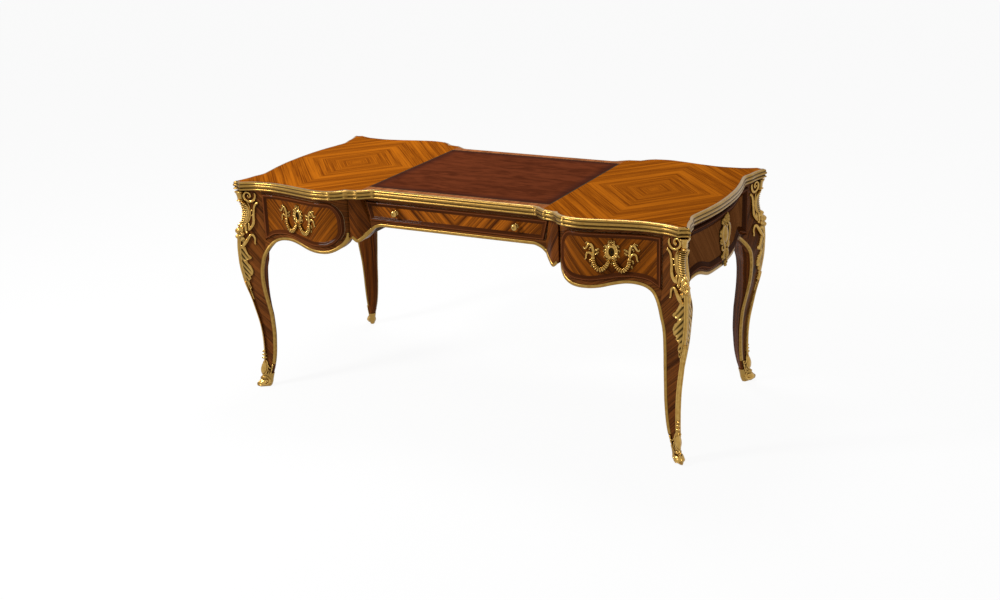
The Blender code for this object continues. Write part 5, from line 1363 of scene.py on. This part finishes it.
def on_leg(a, z, h):
    """Place on a leg: along its face from the arris and out along the face's normal, as (x, y) from the foot.

    Close to the arris the normal swings round to the diagonal, so that forms run
    over the corner without a break.
    """
    arris, inner, plane, _ = leg_lines(z)
    start = arris[..., None] * DIAGONAL
    along = np.stack([-inner, plane], -1) - start
    along /= np.linalg.norm(along, axis=-1)[..., None]
    out = np.stack([along[..., 1], -along[..., 0]], -1)
    near = np.clip(np.abs(a) / ROUND, 0, 1)
    near = (near * near * (3 - 2 * near))[..., None]
    out = out * near + DIAGONAL * (1 - near)
    out /= np.linalg.norm(out, axis=-1)[..., None]
    place = start + along * np.abs(a)[..., None] + out * h[..., None]
    return np.where((a < 0)[..., None], place[..., ::-1], place)


def bend_on_leg(sx, sy):
    return lambda a, z, h: stand(on_leg(a, z, h), z, sx, sy)


# %% Corner mounts
MM = 0.001


def mm(*points):
    return MM * np.array(points, float)


ACANTHUS = mm((362, 6.5), (366, 10), (375, 16), (383, 15), (391, 21), (404, 21), (413, 20), (421, 26),
              (427, 33), (434, 31.5), (440, 41), (448, 45), (458, 47), (468, 46), (476, 43), (486, 34),
              (493, 31), (498, 40), (502, 50), (509, 50.5), (517, 41), (530, 34), (540, 29), (552, 22))


def frond(edge, start, out, veins, steps=150, across=21):
    """A broad lobed leaf beside the arris: from a start line out to an edge that follows knots of (z, reach).

    Its height is out * (0.35 + 0.65 t ** 1.5) * sqrt(1 - t ** 8), t running outwards, less slanting grooves.
    """
    z = np.linspace(edge[0][0], edge[-1][0], steps)[:, None]
    t = np.linspace(0, 1, across)
    a = start + (smooth(edge, z[:, 0])[:, None] - start) * t
    groove = (0.5 + 0.5 * np.cos(2 * math.pi * (z + 1.3 * a) / veins)) ** 1.5 * np.sqrt(np.sin(math.pi * t))
    ends = np.sqrt(np.clip(np.minimum(z - edge[0][0], edge[-1][0] - z) / 0.005, 0, 1))
    rim = np.sqrt(np.clip(t / 0.05, 0, 1) * (1 - t ** 8))
    height = BED + out * ends * rim * (0.35 + 0.65 * t ** 1.5) * (1 - 0.40 * groove)
    # Painted shade in the grooves and towards the bar, painted highlight towards the raised outer edge.
    shine = np.clip(0.45 + 0.6 * t - 0.65 * groove, 0.05, 1) * np.ones_like(z)
    under = np.full_like(height, BED)
    return {"sheets": [(np.stack(np.broadcast_arrays(a, z, height), -1), shine),
                       (np.stack(np.broadcast_arrays(a, z, under), -1), np.zeros_like(height))]}


one_face = [
    scroll(mm((51, 739), (53.5, 731), (52, 721), (43, 710), (29, 706.5), (15, 714), (11.5, 728), (19, 739),
              (31, 738), (35.5, 728), (30, 720.5), (25, 724)),
              mm(2.6, 3.8, 4.8, 5.4, 5.2, 4.8, 4.4, 4.0, 3.4, 2.6), 96),
    boss(0.0275, 0.7265, 0.0046, 0.0046, 0.0090),
    scroll(mm((24, 671), (34, 674), (44, 672)), mm(2.6, 3.0, 2.6), 18),
    scroll(mm((25, 658), (34, 656), (45, 659)), mm(2.6, 3.0, 2.6), 18),
    scroll(mm((60, 700), (57, 703), (52, 699), (46, 692), (42.5, 680), (41, 658), (44.5, 636), (45, 622),
              (41, 612), (34, 602)), mm(2.6, 3.8, 4.6, 4.8, 5.0, 5.6, 6.4, 7.2, 7.4, 5.0), 84),
    boss(0.0585, 0.7000, 0.0036, 0.0036, 0.0060),
    scroll(mm((18, 706), (25.5, 690), (28.5, 664), (27.5, 642), (22, 628)), mm(1.6, 2.4, 2.6, 2.6, 2.0), 60,
           1.2),
    scroll(mm((3, 626), (8, 616), (12, 604), (13, 592)), mm(3.4, 5.0, 5.4, 3.4), 30, 0.8),
    scroll(mm((13, 631), (19, 619), (24, 607), (25, 596)), mm(3.2, 4.8, 5.2, 3.2), 30, 0.7),
    scroll(mm((25, 630), (31, 620), (34, 610), (34, 600)), mm(2.8, 4.2, 4.4, 2.6), 30, 0.6),
    boss(0.0160, 0.5900, 0.0090, 0.0085, 0.0120),
    boss(0.0290, 0.5960, 0.0065, 0.0070, 0.0085),
    leaf(mm((4, 586), (14, 575), (22, 562), (28, 548)), mm(3.0, 9.0, 9.5, 6.0, 2.0), 0.0090, 3, 0.1),
    scroll(mm((64, 552), (61.5, 561), (61, 573), (55, 584), (46, 587), (40, 580), (34, 569), (27, 558),
              (19, 547), (12, 536)), mm(2.6, 3.6, 4.2, 4.8, 5.6, 6.6, 7.4, 7.8, 6.6, 4.0), 84),
    boss(0.0640, 0.5545, 0.0040, 0.0040, 0.0062),
    frond(ACANTHUS, 0.006, 0.0120, 0.023),
]


def over_arris(widths, out, profile, rib=0.0, rib_depth=0.0, steps=90, across=25):
    """A form that lies over the arris: its half width and its height follow knots of (z, value).

    Across it the height is multiplied by a profile of knots (share of the half width, share of the height);
    rib, a spacing in metres, flutes the middle crosswise.
    """
    low, high = widths[0][0], widths[-1][0]
    z = np.linspace(low, high, steps)[:, None]
    t = np.linspace(-1, 1, across)
    half = smooth(widths, z[:, 0])[:, None]
    full = smooth(out, z[:, 0])[:, None]
    middle = np.clip(1 - (t / 0.62) ** 2, 0, 1) ** 0.5
    wave = 0.5 + 0.5 * np.cos(2 * math.pi * (z - 0.003 * t ** 2) / rib) if rib else np.zeros_like(z)
    flute = 1 - rib_depth * wave * middle
    ends = np.sqrt(np.clip(np.minimum(z - low, high - z) / 0.004, 0, 1))
    shape = smooth(profile, np.abs(t))
    height = BED + ends * full * shape * flute
    a = half * t * np.ones_like(z)
    top = np.stack(np.broadcast_arrays(a, z, height), -1)
    under = np.stack(np.broadcast_arrays(a, z, np.full_like(a, BED)), -1)
    # Painted shade in the flutes and at the sides, painted highlight where the profile stands highest.
    shine = np.clip(shape * 1.2 - 0.25, 0.05, 1) * (1 - 0.8 * wave * middle)
    return {"sheets": [(top, shine), (under, np.zeros_like(a))]}


BAR_PROFILE = ((0, 0.85), (0.3, 0.8), (0.55, 0.62), (0.75, 1.0), (0.9, 0.85), (1, 0))
SHELL_PROFILE = ((0, 0.85), (0.4, 0.72), (0.58, 0.62), (0.76, 1.05), (0.92, 0.72), (1, 0))
CAPITAL_PROFILE = ((0, 1), (0.45, 0.94), (0.8, 0.7), (1, 0))
arris_forms = [
    over_arris(((0.34, 0.008), (0.39, 0.0125), (0.43, 0.0115), (0.60, 0.011)),
               ((0.34, 0.0036), (0.39, 0.0048), (0.43, 0.0054), (0.60, 0.0060)), BAR_PROFILE, steps=110),
    over_arris(((0.606, 0.012), (0.622, 0.0215), (0.64, 0.0265), (0.66, 0.0285), (0.68, 0.0275),
                (0.692, 0.0245), (0.702, 0.0175), (0.711, 0.007)),
               ((0.606, 0.0125), (0.620, 0.0088), (0.645, 0.0072), (0.664, 0.0080), (0.685, 0.0105),
                (0.70, 0.0150), (0.711, 0.0165)), SHELL_PROFILE, 0.0070, 0.5, 160, 37),
    over_arris(((0.712, 0.0085), (0.722, 0.0080), (0.734, 0.0100), (0.743, 0.0135), (0.7485, 0.0125)),
               ((0.712, 0.0150), (0.722, 0.0150), (0.734, 0.0170), (0.743, 0.0215), (0.7485, 0.0215)),
               CAPITAL_PROFILE, steps=40),
    boss(0, 0.7105, 0.0090, 0.0055, 0.0195),
    boss(0, 0.6040, 0.0110, 0.0150, 0.0165, 5, 0.2, 12, 42),
    boss(0, 0.6245, 0.0080, 0.0090, 0.0135),
    boss(0, 0.5820, 0.0090, 0.0110, 0.0125, 5, 0.2, 10, 40),
]
chute = arris_forms + one_face + mirrored(one_face)
CANT_HALF = ((SABOT_HEIGHT, 0.0082), (0.13, 0.0092), (0.28, 0.0096), (0.36, 0.0090), (0.41, 0.0070))
CANT_PROFILE = ((0, 0.9), (0.44, 0.88), (0.54, 0.62), (0.64, 0.98), (0.9, 1.0), (0.97, 0.8), (1, 0.45))
CANT_OUT = 0.0034
SQUARE = np.array([-1, 1]) / math.sqrt(2)
bar_z = np.linspace(SABOT_HEIGHT + 2 * GAP, 0.41, 90)[:, None]
bar_t = np.linspace(-1, 1, 37)
bar_half = smooth(CANT_HALF, bar_z)
bar_out = leg_lines(bar_z)[0] + CANT_OUT * smooth(CANT_PROFILE, np.abs(bar_t))
bar_face = bar_out[..., None] * DIAGONAL + (bar_half * bar_t)[..., None] * SQUARE
under_t = 0.6 * bar_half * np.linspace(1, -1, 9)
bar_under = on_leg(under_t, bar_z * np.ones_like(under_t), np.full_like(under_t, BED))
bar_rings = np.concatenate([bar_face, bar_under], 1)
# Painted shade in the groove of the bar's profile; its edges and underside are kept bright.
bar_shine = np.concatenate([np.where(np.abs(bar_t) > 0.8, 1, 1.5 * smooth(CANT_PROFILE, np.abs(bar_t)) - 0.5),
                            np.full(10, 0.95)])
bar_shine = np.broadcast_to(bar_shine, (len(bar_z), len(bar_shine)))
for name, sx, sy in CORNERS:
    patches = mount_patches(chute, bend_on_leg(sx, sy)) + closed_run(stand(bar_rings, bar_z, sx, sy),
                                                                     proud=bar_shine)
    piece = make_piece(f"gilt_chute_{name}", patches, [GILT_CAST], "frame", [f"corner_mount_{name}"],
                       sharp=60)
print("chute faces:", len(piece.data.polygons))

# %% [markdown]
# A sabot is a bronze shoe that keeps the veneer off the floor. Its cup follows the leg; a long cabochon
# sits on the arris, volutes curl at both sides of the toe and a few husks climb the bar above.

# %% Sabots
SABOT_WALL = ((0, 0.0016), (0.006, 0.0034), (0.016, 0.0042), (0.026, 0.0034), (0.045, 0.0028),
              (0.066, 0.0030), (SABOT_HEIGHT, 0.0024))
SABOT_TOE = ((0, 0.008), (0.007, 0.017), (0.016, 0.018), (0.026, 0.011), (0.045, 0.003), (0.066, 0.003),
             (SABOT_HEIGHT, 0.001))
CUP_HEIGHT = 0.050
CUP_SIDE = 10
cup_z = np.concatenate([np.linspace(0, 0.03, 22), np.linspace(0.03, CUP_HEIGHT, 14)[1:]])
cup_rings = []
for z in cup_z:
    section = inset_loop(leg_corners(np.array(z)), -float(smooth(SABOT_WALL, z)))
    section[0] += float(smooth(SABOT_TOE, z)) * DIAGONAL
    sides = [between(section[i:i + 1], section[(i + 1) % 5:(i + 1) % 5 + 1], CUP_SIDE)[0,
                                                                                       :-1] for i in range(5)]
    ring = np.concatenate(sides)
    cup_rings.append(sum(np.roll(ring, k, axis=0) for k in range(-2, 3)) / 5)
cup = np.stack(cup_rings)


def on_sabot(a, z, h):
    """Place on the shoe: the leg's own place, moved out by the wall and, near the arris, by the toe."""
    near = np.exp(-(a / 0.012) ** 2)
    low = np.clip(z, 0, SABOT_HEIGHT)
    worn = np.where(z < SABOT_HEIGHT, 1.0, 0.6)
    return on_leg(a, z, h + worn * smooth(SABOT_WALL, low) + 0.75 * near * smooth(SABOT_TOE, low))


shoe_face = [
    scroll(spiral((0.0115, 0.0205), 0.0125, 0.0030, 1.35, 75, -1), mm(2.6, 4.6, 4.4, 2.8), 64, rise=0.3),
    boss(0.0115, 0.0205, 0.0042, 0.0042, 0.0072),
    leaf(mm((2, 39), (9, 38), (16, 35), (22, 28)), mm(2.0, 4.4, 4.2, 0.9), 0.0052, 4, 0.2),
    leaf(mm((7, 5), (12, 7), (18, 11), (22, 18)), mm(1.6, 3.4, 3.4, 0.9), 0.0042, 3, 0.2),
    leaf(mm((21, 7), (24, 14), (25, 23), (23, 33)), mm(1.5, 3.6, 3.4, 0.8), 0.0036, 3, 0.2),
    scroll(mm((19, 36), (22, 45), (25, 54), (27, 63), (29, 73), (30, 82)), mm(2.6, 3.0, 3.0, 3.0, 2.6), 60,
           beads=0.0125),
    boss(0.0300, 0.0835, 0.0042, 0.0046, 0.0058),
    scroll(mm((13, 47), (17, 52), (18, 60), (15, 67)), mm(1.6, 2.0, 1.8, 1.2), 30),
    scroll(mm((14, 83), (17, 76), (21, 72), (26, 73)), mm(1.4, 1.9, 1.9, 1.4), 30),
]
shoe_middle = [
    boss(0, 0.0745, 0.0105, 0.0280, 0.0095, 0, 0, 12, 44),
    scroll(ring_of((0, 0.0745), (0.0122, 0.0298), 60), mm(2.2, 2.2), 90, closed=True),
    boss(0, 0.0375, 0.0090, 0.0070, 0.0080, 5, 0.4, 10, 40),
    boss(0, 0.0225, 0.0065, 0.0085, 0.0055, 0, 0, 10, 40),
    boss(0, 0.0085, 0.0075, 0.0066, 0.0055, 5, 0.4, 10, 40),
    boss(0, 0.1130, 0.0085, 0.0060, 0.0105),
    boss(0, 0.1255, 0.0074, 0.0056, 0.0098),
    boss(0, 0.1375, 0.0062, 0.0054, 0.0090),
]
shoe = shoe_middle + shoe_face + mirrored(shoe_face)
for name, sx, sy in CORNERS:
    rings = stand(cup, cup_z[:, None], sx, sy)
    patches = closed_run(rings, proud=np.full((len(cup_z), rings.shape[1] + 1), 0.55))
    patches += mount_patches(shoe, lambda a, z, h: stand(on_sabot(a, z, h), np.maximum(z, 0.0), sx, sy))
    make_piece(f"gilt_shoe_{name}", patches, [GILT_CAST], "frame", [f"sabot_{name}"], sharp=60)
print("sabots made")

# %% [markdown]
# The end drawers have a fixed pull: an oval escutcheon round the keyhole with a flame of leaves on top, and
# on each side a chain of husks that hangs in a swag and curls up into two leafy scrolls.

# %% Garland pulls
PULL_Z = UNDERSIDE - 0.075
FIELD_RISE = 0.001


def on_drawer(side, facing=1):
    """Place on an end drawer's field, measured from the middle of its escutcheon."""
    place = on_front(side, facing)
    return lambda a, b, h: place(PULL_X + a, end_depth(PULL_X + a) + FIELD_RISE + h, PULL_Z + b)


half_pull = [
    scroll(mm((7, -25), (10, -34), (15, -44), (23, -52.5), (32, -56.5), (41, -54.5), (48, -47), (53, -37),
              (55, -26), (55, -13)), mm(6.0, 8.0, 9.2, 10.0, 10.0, 9.2, 8.2, 6.4), 150, 0.4, 14, 0.0066),
    scroll(mm((54, -16), (55, -4), (56, 7), (58, 16), (63, 23), (70, 22), (75, 14), (79, 8), (84, 8),
              (86, 14)),
           mm(4.1, 4.6, 4.9, 4.6, 3.9, 2.9, 2.0), 76),
    scroll(mm((54, -18), (60, -9), (67, -4), (74, -6), (77, -14), (78, -22), (82, -28)),
           mm(3.7, 4.1, 4.4, 3.9, 3.2, 2.4), 56),
    leaf(mm((54, 2), (47, 4), (41, 8), (34, 9)), mm(2.0, 4.6, 3.8, 0.7), 0.0052, 3, 0.15),
    leaf(mm((53, -8), (46, -7), (41, -3), (38, 3)), mm(1.6, 4.2, 3.4, 0.7), 0.0050, 3, 0.15),
    leaf(mm((55, -24), (62, -26), (66, -31), (64, -38)), mm(1.6, 4.2, 3.4, 0.7), 0.0046, 3, 0.15),
    leaf(mm((57, 12), (63, 12), (67, 7), (67, 1)), mm(1.4, 3.6, 2.8, 0.7), 0.0044, 3, 0.15),
    leaf(mm((63, 22), (70, 27), (77, 26), (82, 21)), mm(1.4, 3.4, 2.8, 0.7), 0.0044, 3, 0.15),
    leaf(mm((52, -44), (59, -43), (62, -47), (60, -53)), mm(1.4, 3.2, 2.6, 0.7), 0.0040, 3, 0.15),
    scroll(mm((2, 23), (8, 23), (13, 17), (16, 8), (17, -2), (15, -12), (10, -19), (3, -23)),
           mm(2.9, 4.1, 4.6, 4.6, 4.6, 4.1, 3.2), 80, 0.5, 12, 0.0105),
    leaf(mm((3, 22), (7, 28), (8, 34), (5, 39)), mm(1.6, 4.0, 3.2, 0.7), 0.0058, 3, 0.15),
    leaf(mm((10, 18), (17, 20), (21, 17), (22, 11)), mm(1.4, 3.6, 2.8, 0.7), 0.0048, 3, 0.15),
    leaf(mm((15, 4), (21, 6), (24, 3), (24, -3)), mm(1.2, 3.0, 2.4, 0.7), 0.0046, 3, 0.15),
    leaf(mm((13, -12), (19, -12), (22, -16), (21, -21)), mm(1.4, 3.4, 2.8, 0.7), 0.0046, 3, 0.15),
    leaf(mm((4, -25), (10, -26), (15, -24), (18, -27)), mm(1.4, 3.4, 2.6, 0.7), 0.0060, 3, 0.15),
]
PLATE_HOLE = (0.0078, 0.0130)
PLATE_EDGE = (0.0165, 0.0235)


def keyhole_plate():
    """An oval frame round a dark plate: rings from its inner ellipse out to the outer one, and back under."""
    turn = np.linspace(0, 2 * math.pi, 65)
    hole, oval = (np.stack([size[0] * np.cos(turn), size[1] * np.sin(turn)], 1) for size in (PLATE_HOLE,
                                                                                             PLATE_EDGE))
    t = np.linspace(0, 1, 14)[:, None, None]
    flat = hole + (oval - hole) * t
    height = 0.0026 + 0.0030 * np.sin(math.pi * t[..., 0] ** 0.8) * np.ones(65)
    height[0], height[-1] = BED, BED
    # Painted highlight on the crest of the frame, painted shade at its edges.
    shine = np.clip(0.25 + np.sin(math.pi * t[..., 0] ** 0.8), 0, 1) * np.ones(65)
    under = np.full_like(height, BED)
    return {"sheets": [(np.concatenate([flat, height[..., None]], -1), shine),
                       (np.concatenate([flat, under[..., None]], -1), np.zeros_like(height))]}


pull_middle = [
    keyhole_plate(),
    boss(0, 0.0240, 0.0052, 0.0066, 0.0080, 5, 0.4, 10, 40),
    boss(0, -0.0265, 0.0072, 0.0066, 0.0088, 5, 0.4, 10, 40),
    leaf(mm((0, 24), (0.5, 31), (0, 37), (2, 42)), mm(1.8, 4.0, 2.8, 0.7), 0.0068, 4, 0.3),
    leaf(mm((0, -31), (0, -37), (0, -43)), mm(1.6, 3.6, 0.7), 0.0056, 4, 0.3),
]
pull = pull_middle + half_pull + mirrored(half_pull)
# Painted shade: the plate behind the keyhole is made dark, and the keyhole is a near-black boss standing for the
# shadow of the hole.
dark_plate = [boss(0, 0, 0.0090, 0.0145, 0.0016)]
keyhole = [boss(0, -0.001, 0.0030, 0.0056, 0.0030)]
KEY_SHADOW, tree, shader = new_material("keyhole_shadow", Roughness=0.8, Specular_IOR_Level=0.05)
# Painted shadow inside the keyhole, mottled by noise.
painted_shadow_mottle = noise(tree, node(tree, "ShaderNodeTexCoord").outputs["Object"], 2, 0.5, 0.0, 300)
tree.links.new(blend(tree, painted_shadow_mottle, (0.006, 0.004, 0.003, 1), (0.014, 0.009, 0.006, 1)),
               shader.inputs["Base Color"])


def backing(bend):
    """The plate inside the frame, painted dark as the shade of the recess, and the keyhole in it, a dark boss
    painted as the shadow of the hole.
    """
    plate = [dict(item, proud=np.full(item["points"].shape[:2], 0.05)) for item in mount_patches(dark_plate,
                                                                                                 bend)]
    return plate + [dict(item, finish=1) for item in mount_patches(keyhole, bend)]


for name, side in SIDES:
    bend = on_drawer(side)
    shadow = backing(bend)
    make_piece(f"garland_pull_{name}", mount_patches(pull, bend) + shadow, [GILT_CAST, KEY_SHADOW],
               f"drawer_{name}", [f"drawer_pull_{name}"], sharp=60)
    bend = on_drawer(side, -1)
    shadow = backing(bend)
    make_piece(f"sham_pull_{name}", mount_patches(pull, bend) + shadow, [GILT_CAST, KEY_SHADOW], "frame", [],
               sharp=60)
print("pulls made")

# %% [markdown]
# The centre drawer has two turned knobs. A knob is a lathe job: its profile swept once round, with a
# collar, a thin neck and a flattened ball.

# %% Knobs
KNOB_X = 0.2255
KNOB_Z = UNDERSIDE - 0.047
KNOB_PROFILE = mm((0, 0), (8.6, 0), (9.0, 0.8), (8.4, 2.0), (6.8, 2.6), (6.2, 3.4), (6.6, 4.2), (5.4, 5.2),
                  (4.7, 6.8), (4.9, 8.4), (7.2, 9.6), (10.2, 11.4), (11.5, 14.2), (10.9, 17.2), (8.6, 19.6),
                  (5.2, 21.2), (0, 21.9))


def knob(x, facing):
    """The profile turned about an axis that points out of the drawer."""
    line = curve_through(KNOB_PROFILE, 90)
    line[:, 0] = np.maximum(line[:, 0], 0)
    turn = np.linspace(0, 2 * math.pi, 49)
    radius, out = line[:, 0][:, None], line[:, 1][:, None]
    place = on_front(1, facing)
    skin = place(x + radius * np.cos(turn), CENTRE_Y + FIELD_RISE - 0.0004 + out,
                 KNOB_Z + radius * np.sin(turn))
    # Painted shade in the neck and near the drawer, painted highlight on the wide parts.
    shine = np.clip(0.25 + radius / 0.0115, 0, 1) * np.ones(49)
    return [patch(skin, proud=shine)]


for name, side in SIDES:
    make_piece(f"gilt_knob_{name}", knob(side * KNOB_X, 1), [GILT_CAST], "drawer_center",
               [f"drawer_knob_{name}"], sharp=60)
    make_piece(f"sham_knob_{name}", knob(side * KNOB_X, -1), [GILT_CAST], "frame", [],
               sharp=60)
print("knobs made")

# %% [markdown]
# Each side carries a cartouche in the middle of its moulding: a long cabochon between two scrolls, a leafy
# crest and a berry that hangs below the edge.

# %% Cartouches
CARTOUCHE_Z = UNDERSIDE - 0.110
CARTOUCHE_RISE = 0.0085
CARTOUCHE_SPREAD = 1.3


def on_side_middle(side):
    """Place on the middle of a side, measured from the cartouche's centre."""
    place = on_side(side)
    return lambda a, b, h: place(CARTOUCHE_SPREAD * a,
                                 side_depth(CARTOUCHE_SPREAD * a) + CARTOUCHE_RISE * 0.6 + h, CARTOUCHE_Z + b)


half_cartouche = [
    scroll(mm((4, -70), (14, -62), (17, -50), (12, -40), (10, -28), (16, -14), (24, 2), (28, 20), (25, 36),
              (16, 46), (10, 42), (12, 35)), mm(2.4, 4.1, 4.3, 4.6, 4.8, 5.0, 4.8, 3.8, 2.4), 90, 0.6),
    scroll(mm((10, -30), (20, -34), (26, -28), (25, -20), (20, -19)), mm(3.1, 3.6, 3.1, 2.2), 40, 0.6),
    leaf(mm((24, 8), (31, 16), (34, 28), (31, 40)), mm(1.2, 4.6, 4.2, 0.8), 0.006, 3, 0.15),
    leaf(mm((14, 44), (20, 54), (20, 66), (13, 76)), mm(1.6, 5.2, 4.6, 0.8), 0.007, 3, 0.15),
    leaf(mm((5, 46), (9, 60), (9, 72), (5, 84)), mm(1.6, 5.0, 4.2, 0.8), 0.0085, 3, 0.15),
    leaf(mm((18, -16), (27, -10), (31, 0), (29, 10)), mm(1.2, 4.2, 3.6, 0.8), 0.006, 3, 0.15),
    leaf(mm((12, -46), (20, -52), (22, -62), (17, -70)), mm(1.2, 4.2, 3.6, 0.8), 0.006, 3, 0.15),
]
cartouche_middle = [
    boss(0, 0.012, 0.0145, 0.029, 0.0100, 0, 0, 12, 44),
    scroll(ring_of((0, 0.012), (0.0158, 0.0305), 60), mm(2.0, 2.0), 90, 0.7, closed=True),
    boss(0, 0.050, 0.0095, 0.0095, 0.0112, 7, 0.4, 10, 42),
    leaf(mm((0, 52), (0.5, 66), (0, 78), (0.5, 88)), mm(2.0, 5.5, 4.5, 0.8), 0.0105, 6, 0.35),
    boss(0, -0.030, 0.0090, 0.0110, 0.0108, 7, 0.4, 10, 42),
    leaf(mm((0, -36), (0, -52), (0, -66), (0, -78)), mm(2.0, 7.5, 6.0, 0.8), 0.0095, 7, 0.35),
    boss(0, -0.0790, 0.0072, 0.0080, 0.0105, 8, 0.25, 10, 40),
    boss(0, -0.0895, 0.0052, 0.0062, 0.0085),
]
cartouche = cartouche_middle + half_cartouche + mirrored(half_cartouche)
for name, side in SIDES:
    make_piece(f"gilt_cartouche_{name}", mount_patches(cartouche, on_side_middle(side)), [GILT], "frame",
               [f"side_cartouche_{name}"], sharp=60)
print("cartouches made")

# %% [markdown]
# ## Studio
# A pale sweep, a large soft lamp over the front left and a broad one above: the light of a catalogue picture.
# The camera stands a little above the table and to its right.

# %% Floor, light and camera
floor_mesh = bpy.data.meshes.new("floor")
floor_mesh.from_pydata([(-60, -60, 0), (60, -60, 0), (60, 60, 0), (-60, 60, 0)], [], [(0, 1, 2, 3)])
floor = bpy.data.objects.new("studio_floor", floor_mesh)
bpy.context.scene.collection.objects.link(floor)
FLOOR, tree, shader = new_material("pale_floor", Base_Color=(0.92, 0.92, 0.92, 1), Roughness=0.9,
                                   Specular_IOR_Level=0.0)
floor_mesh.materials.append(FLOOR)
rays = node(tree, "ShaderNodeLightPath")
seen = maths(tree, "MAXIMUM", rays.outputs["Is Camera Ray"], rays.outputs["Is Glossy Ray"])
seen = maths(tree, "MAXIMUM", seen, rays.outputs["Is Transmission Ray"])
glow = node(tree, "ShaderNodeEmission", {"Color": (1, 1, 1, 1), "Strength": 1.0})
share = maths(tree, "MULTIPLY", seen, 0.93)
mixer = node(tree, "ShaderNodeMixShader",
             {"Fac": share, 1: shader.outputs["BSDF"], 2: glow.outputs["Emission"]})
tree.links.new(mixer.outputs["Shader"], tree.nodes["Material Output"].inputs["Surface"])

world = bpy.data.worlds.new("studio_air")
world.use_nodes = True
tree = world.node_tree
rays = node(tree, "ShaderNodeLightPath")
seen = maths(tree, "MAXIMUM", rays.outputs["Is Camera Ray"], rays.outputs["Is Glossy Ray"])
seen = maths(tree, "MAXIMUM", seen, rays.outputs["Is Transmission Ray"])
AMBIENT = 0.34
strength = maths(tree, "ADD", maths(tree, "MULTIPLY", seen, 1 - AMBIENT), AMBIENT)
tree.nodes["Background"].inputs["Color"].default_value = (1, 1, 1, 1)
tree.links.new(strength, tree.nodes["Background"].inputs["Strength"])
bpy.context.scene.world = world


def soft_lamp(name, place, target, size, watts):
    """A square area lamp turned to look at a target."""
    lamp = bpy.data.lights.new(name, "AREA")
    lamp.size = size
    lamp.energy = watts
    item = bpy.data.objects.new(name, lamp)
    bpy.context.scene.collection.objects.link(item)
    back = np.array(place, float) - target
    back /= np.linalg.norm(back)
    right = np.cross((0, 0, 1), back) if abs(back[2]) < 0.99 else np.array([1.0, 0, 0])
    right /= np.linalg.norm(right)
    up = np.cross(back, right)
    item.matrix_world = Matrix([[*row, p] for row,
                                p in zip(np.stack([right, up, back], 1), place)] + [[0, 0, 0, 1]])
    return item


soft_lamp("key_softbox", (-2.5, -2.8, 2.8), (0, 0, 0.5), 0.7, 128)
soft_lamp("overhead_bank", (-0.6, 1.0, 3.4), (0, 0, 0.7), 1.2, 60)

YAW, PITCH, ROLL = (math.radians(a) for a in (27.84, 19.29, -2.03))
forward = np.array([-math.sin(YAW) * math.cos(PITCH), math.cos(YAW) * math.cos(PITCH), -math.sin(PITCH)])
level_right = np.array([math.cos(YAW), math.sin(YAW), 0])
level_up = np.cross(level_right, forward)
right = math.cos(ROLL) * level_right + math.sin(ROLL) * level_up
up = math.cos(ROLL) * level_up - math.sin(ROLL) * level_right
lens = bpy.data.cameras.new("photographer")
lens.sensor_width = 36
lens.lens = 47.54
camera = bpy.data.objects.new("photographer", lens)
bpy.context.scene.collection.objects.link(camera)
CAMERA_PLACE = (2.075, -3.94, 1.88)
camera.matrix_world = Matrix([[*row, p] for row, p in zip(np.stack([right, up, -forward], 1), CAMERA_PLACE)]
                             + [[0, 0, 0, 1]])
bpy.context.scene.camera = camera
bpy.context.scene.view_settings.view_transform = "Standard"
print("camera at", CAMERA_PLACE)

# %% [markdown]
# ## Finish
# The view layer is brought up to date at the end. The dressed table must stay inside the box of its
# CAD solids.

# %% Update the view layer
bpy.context.view_layer.update()
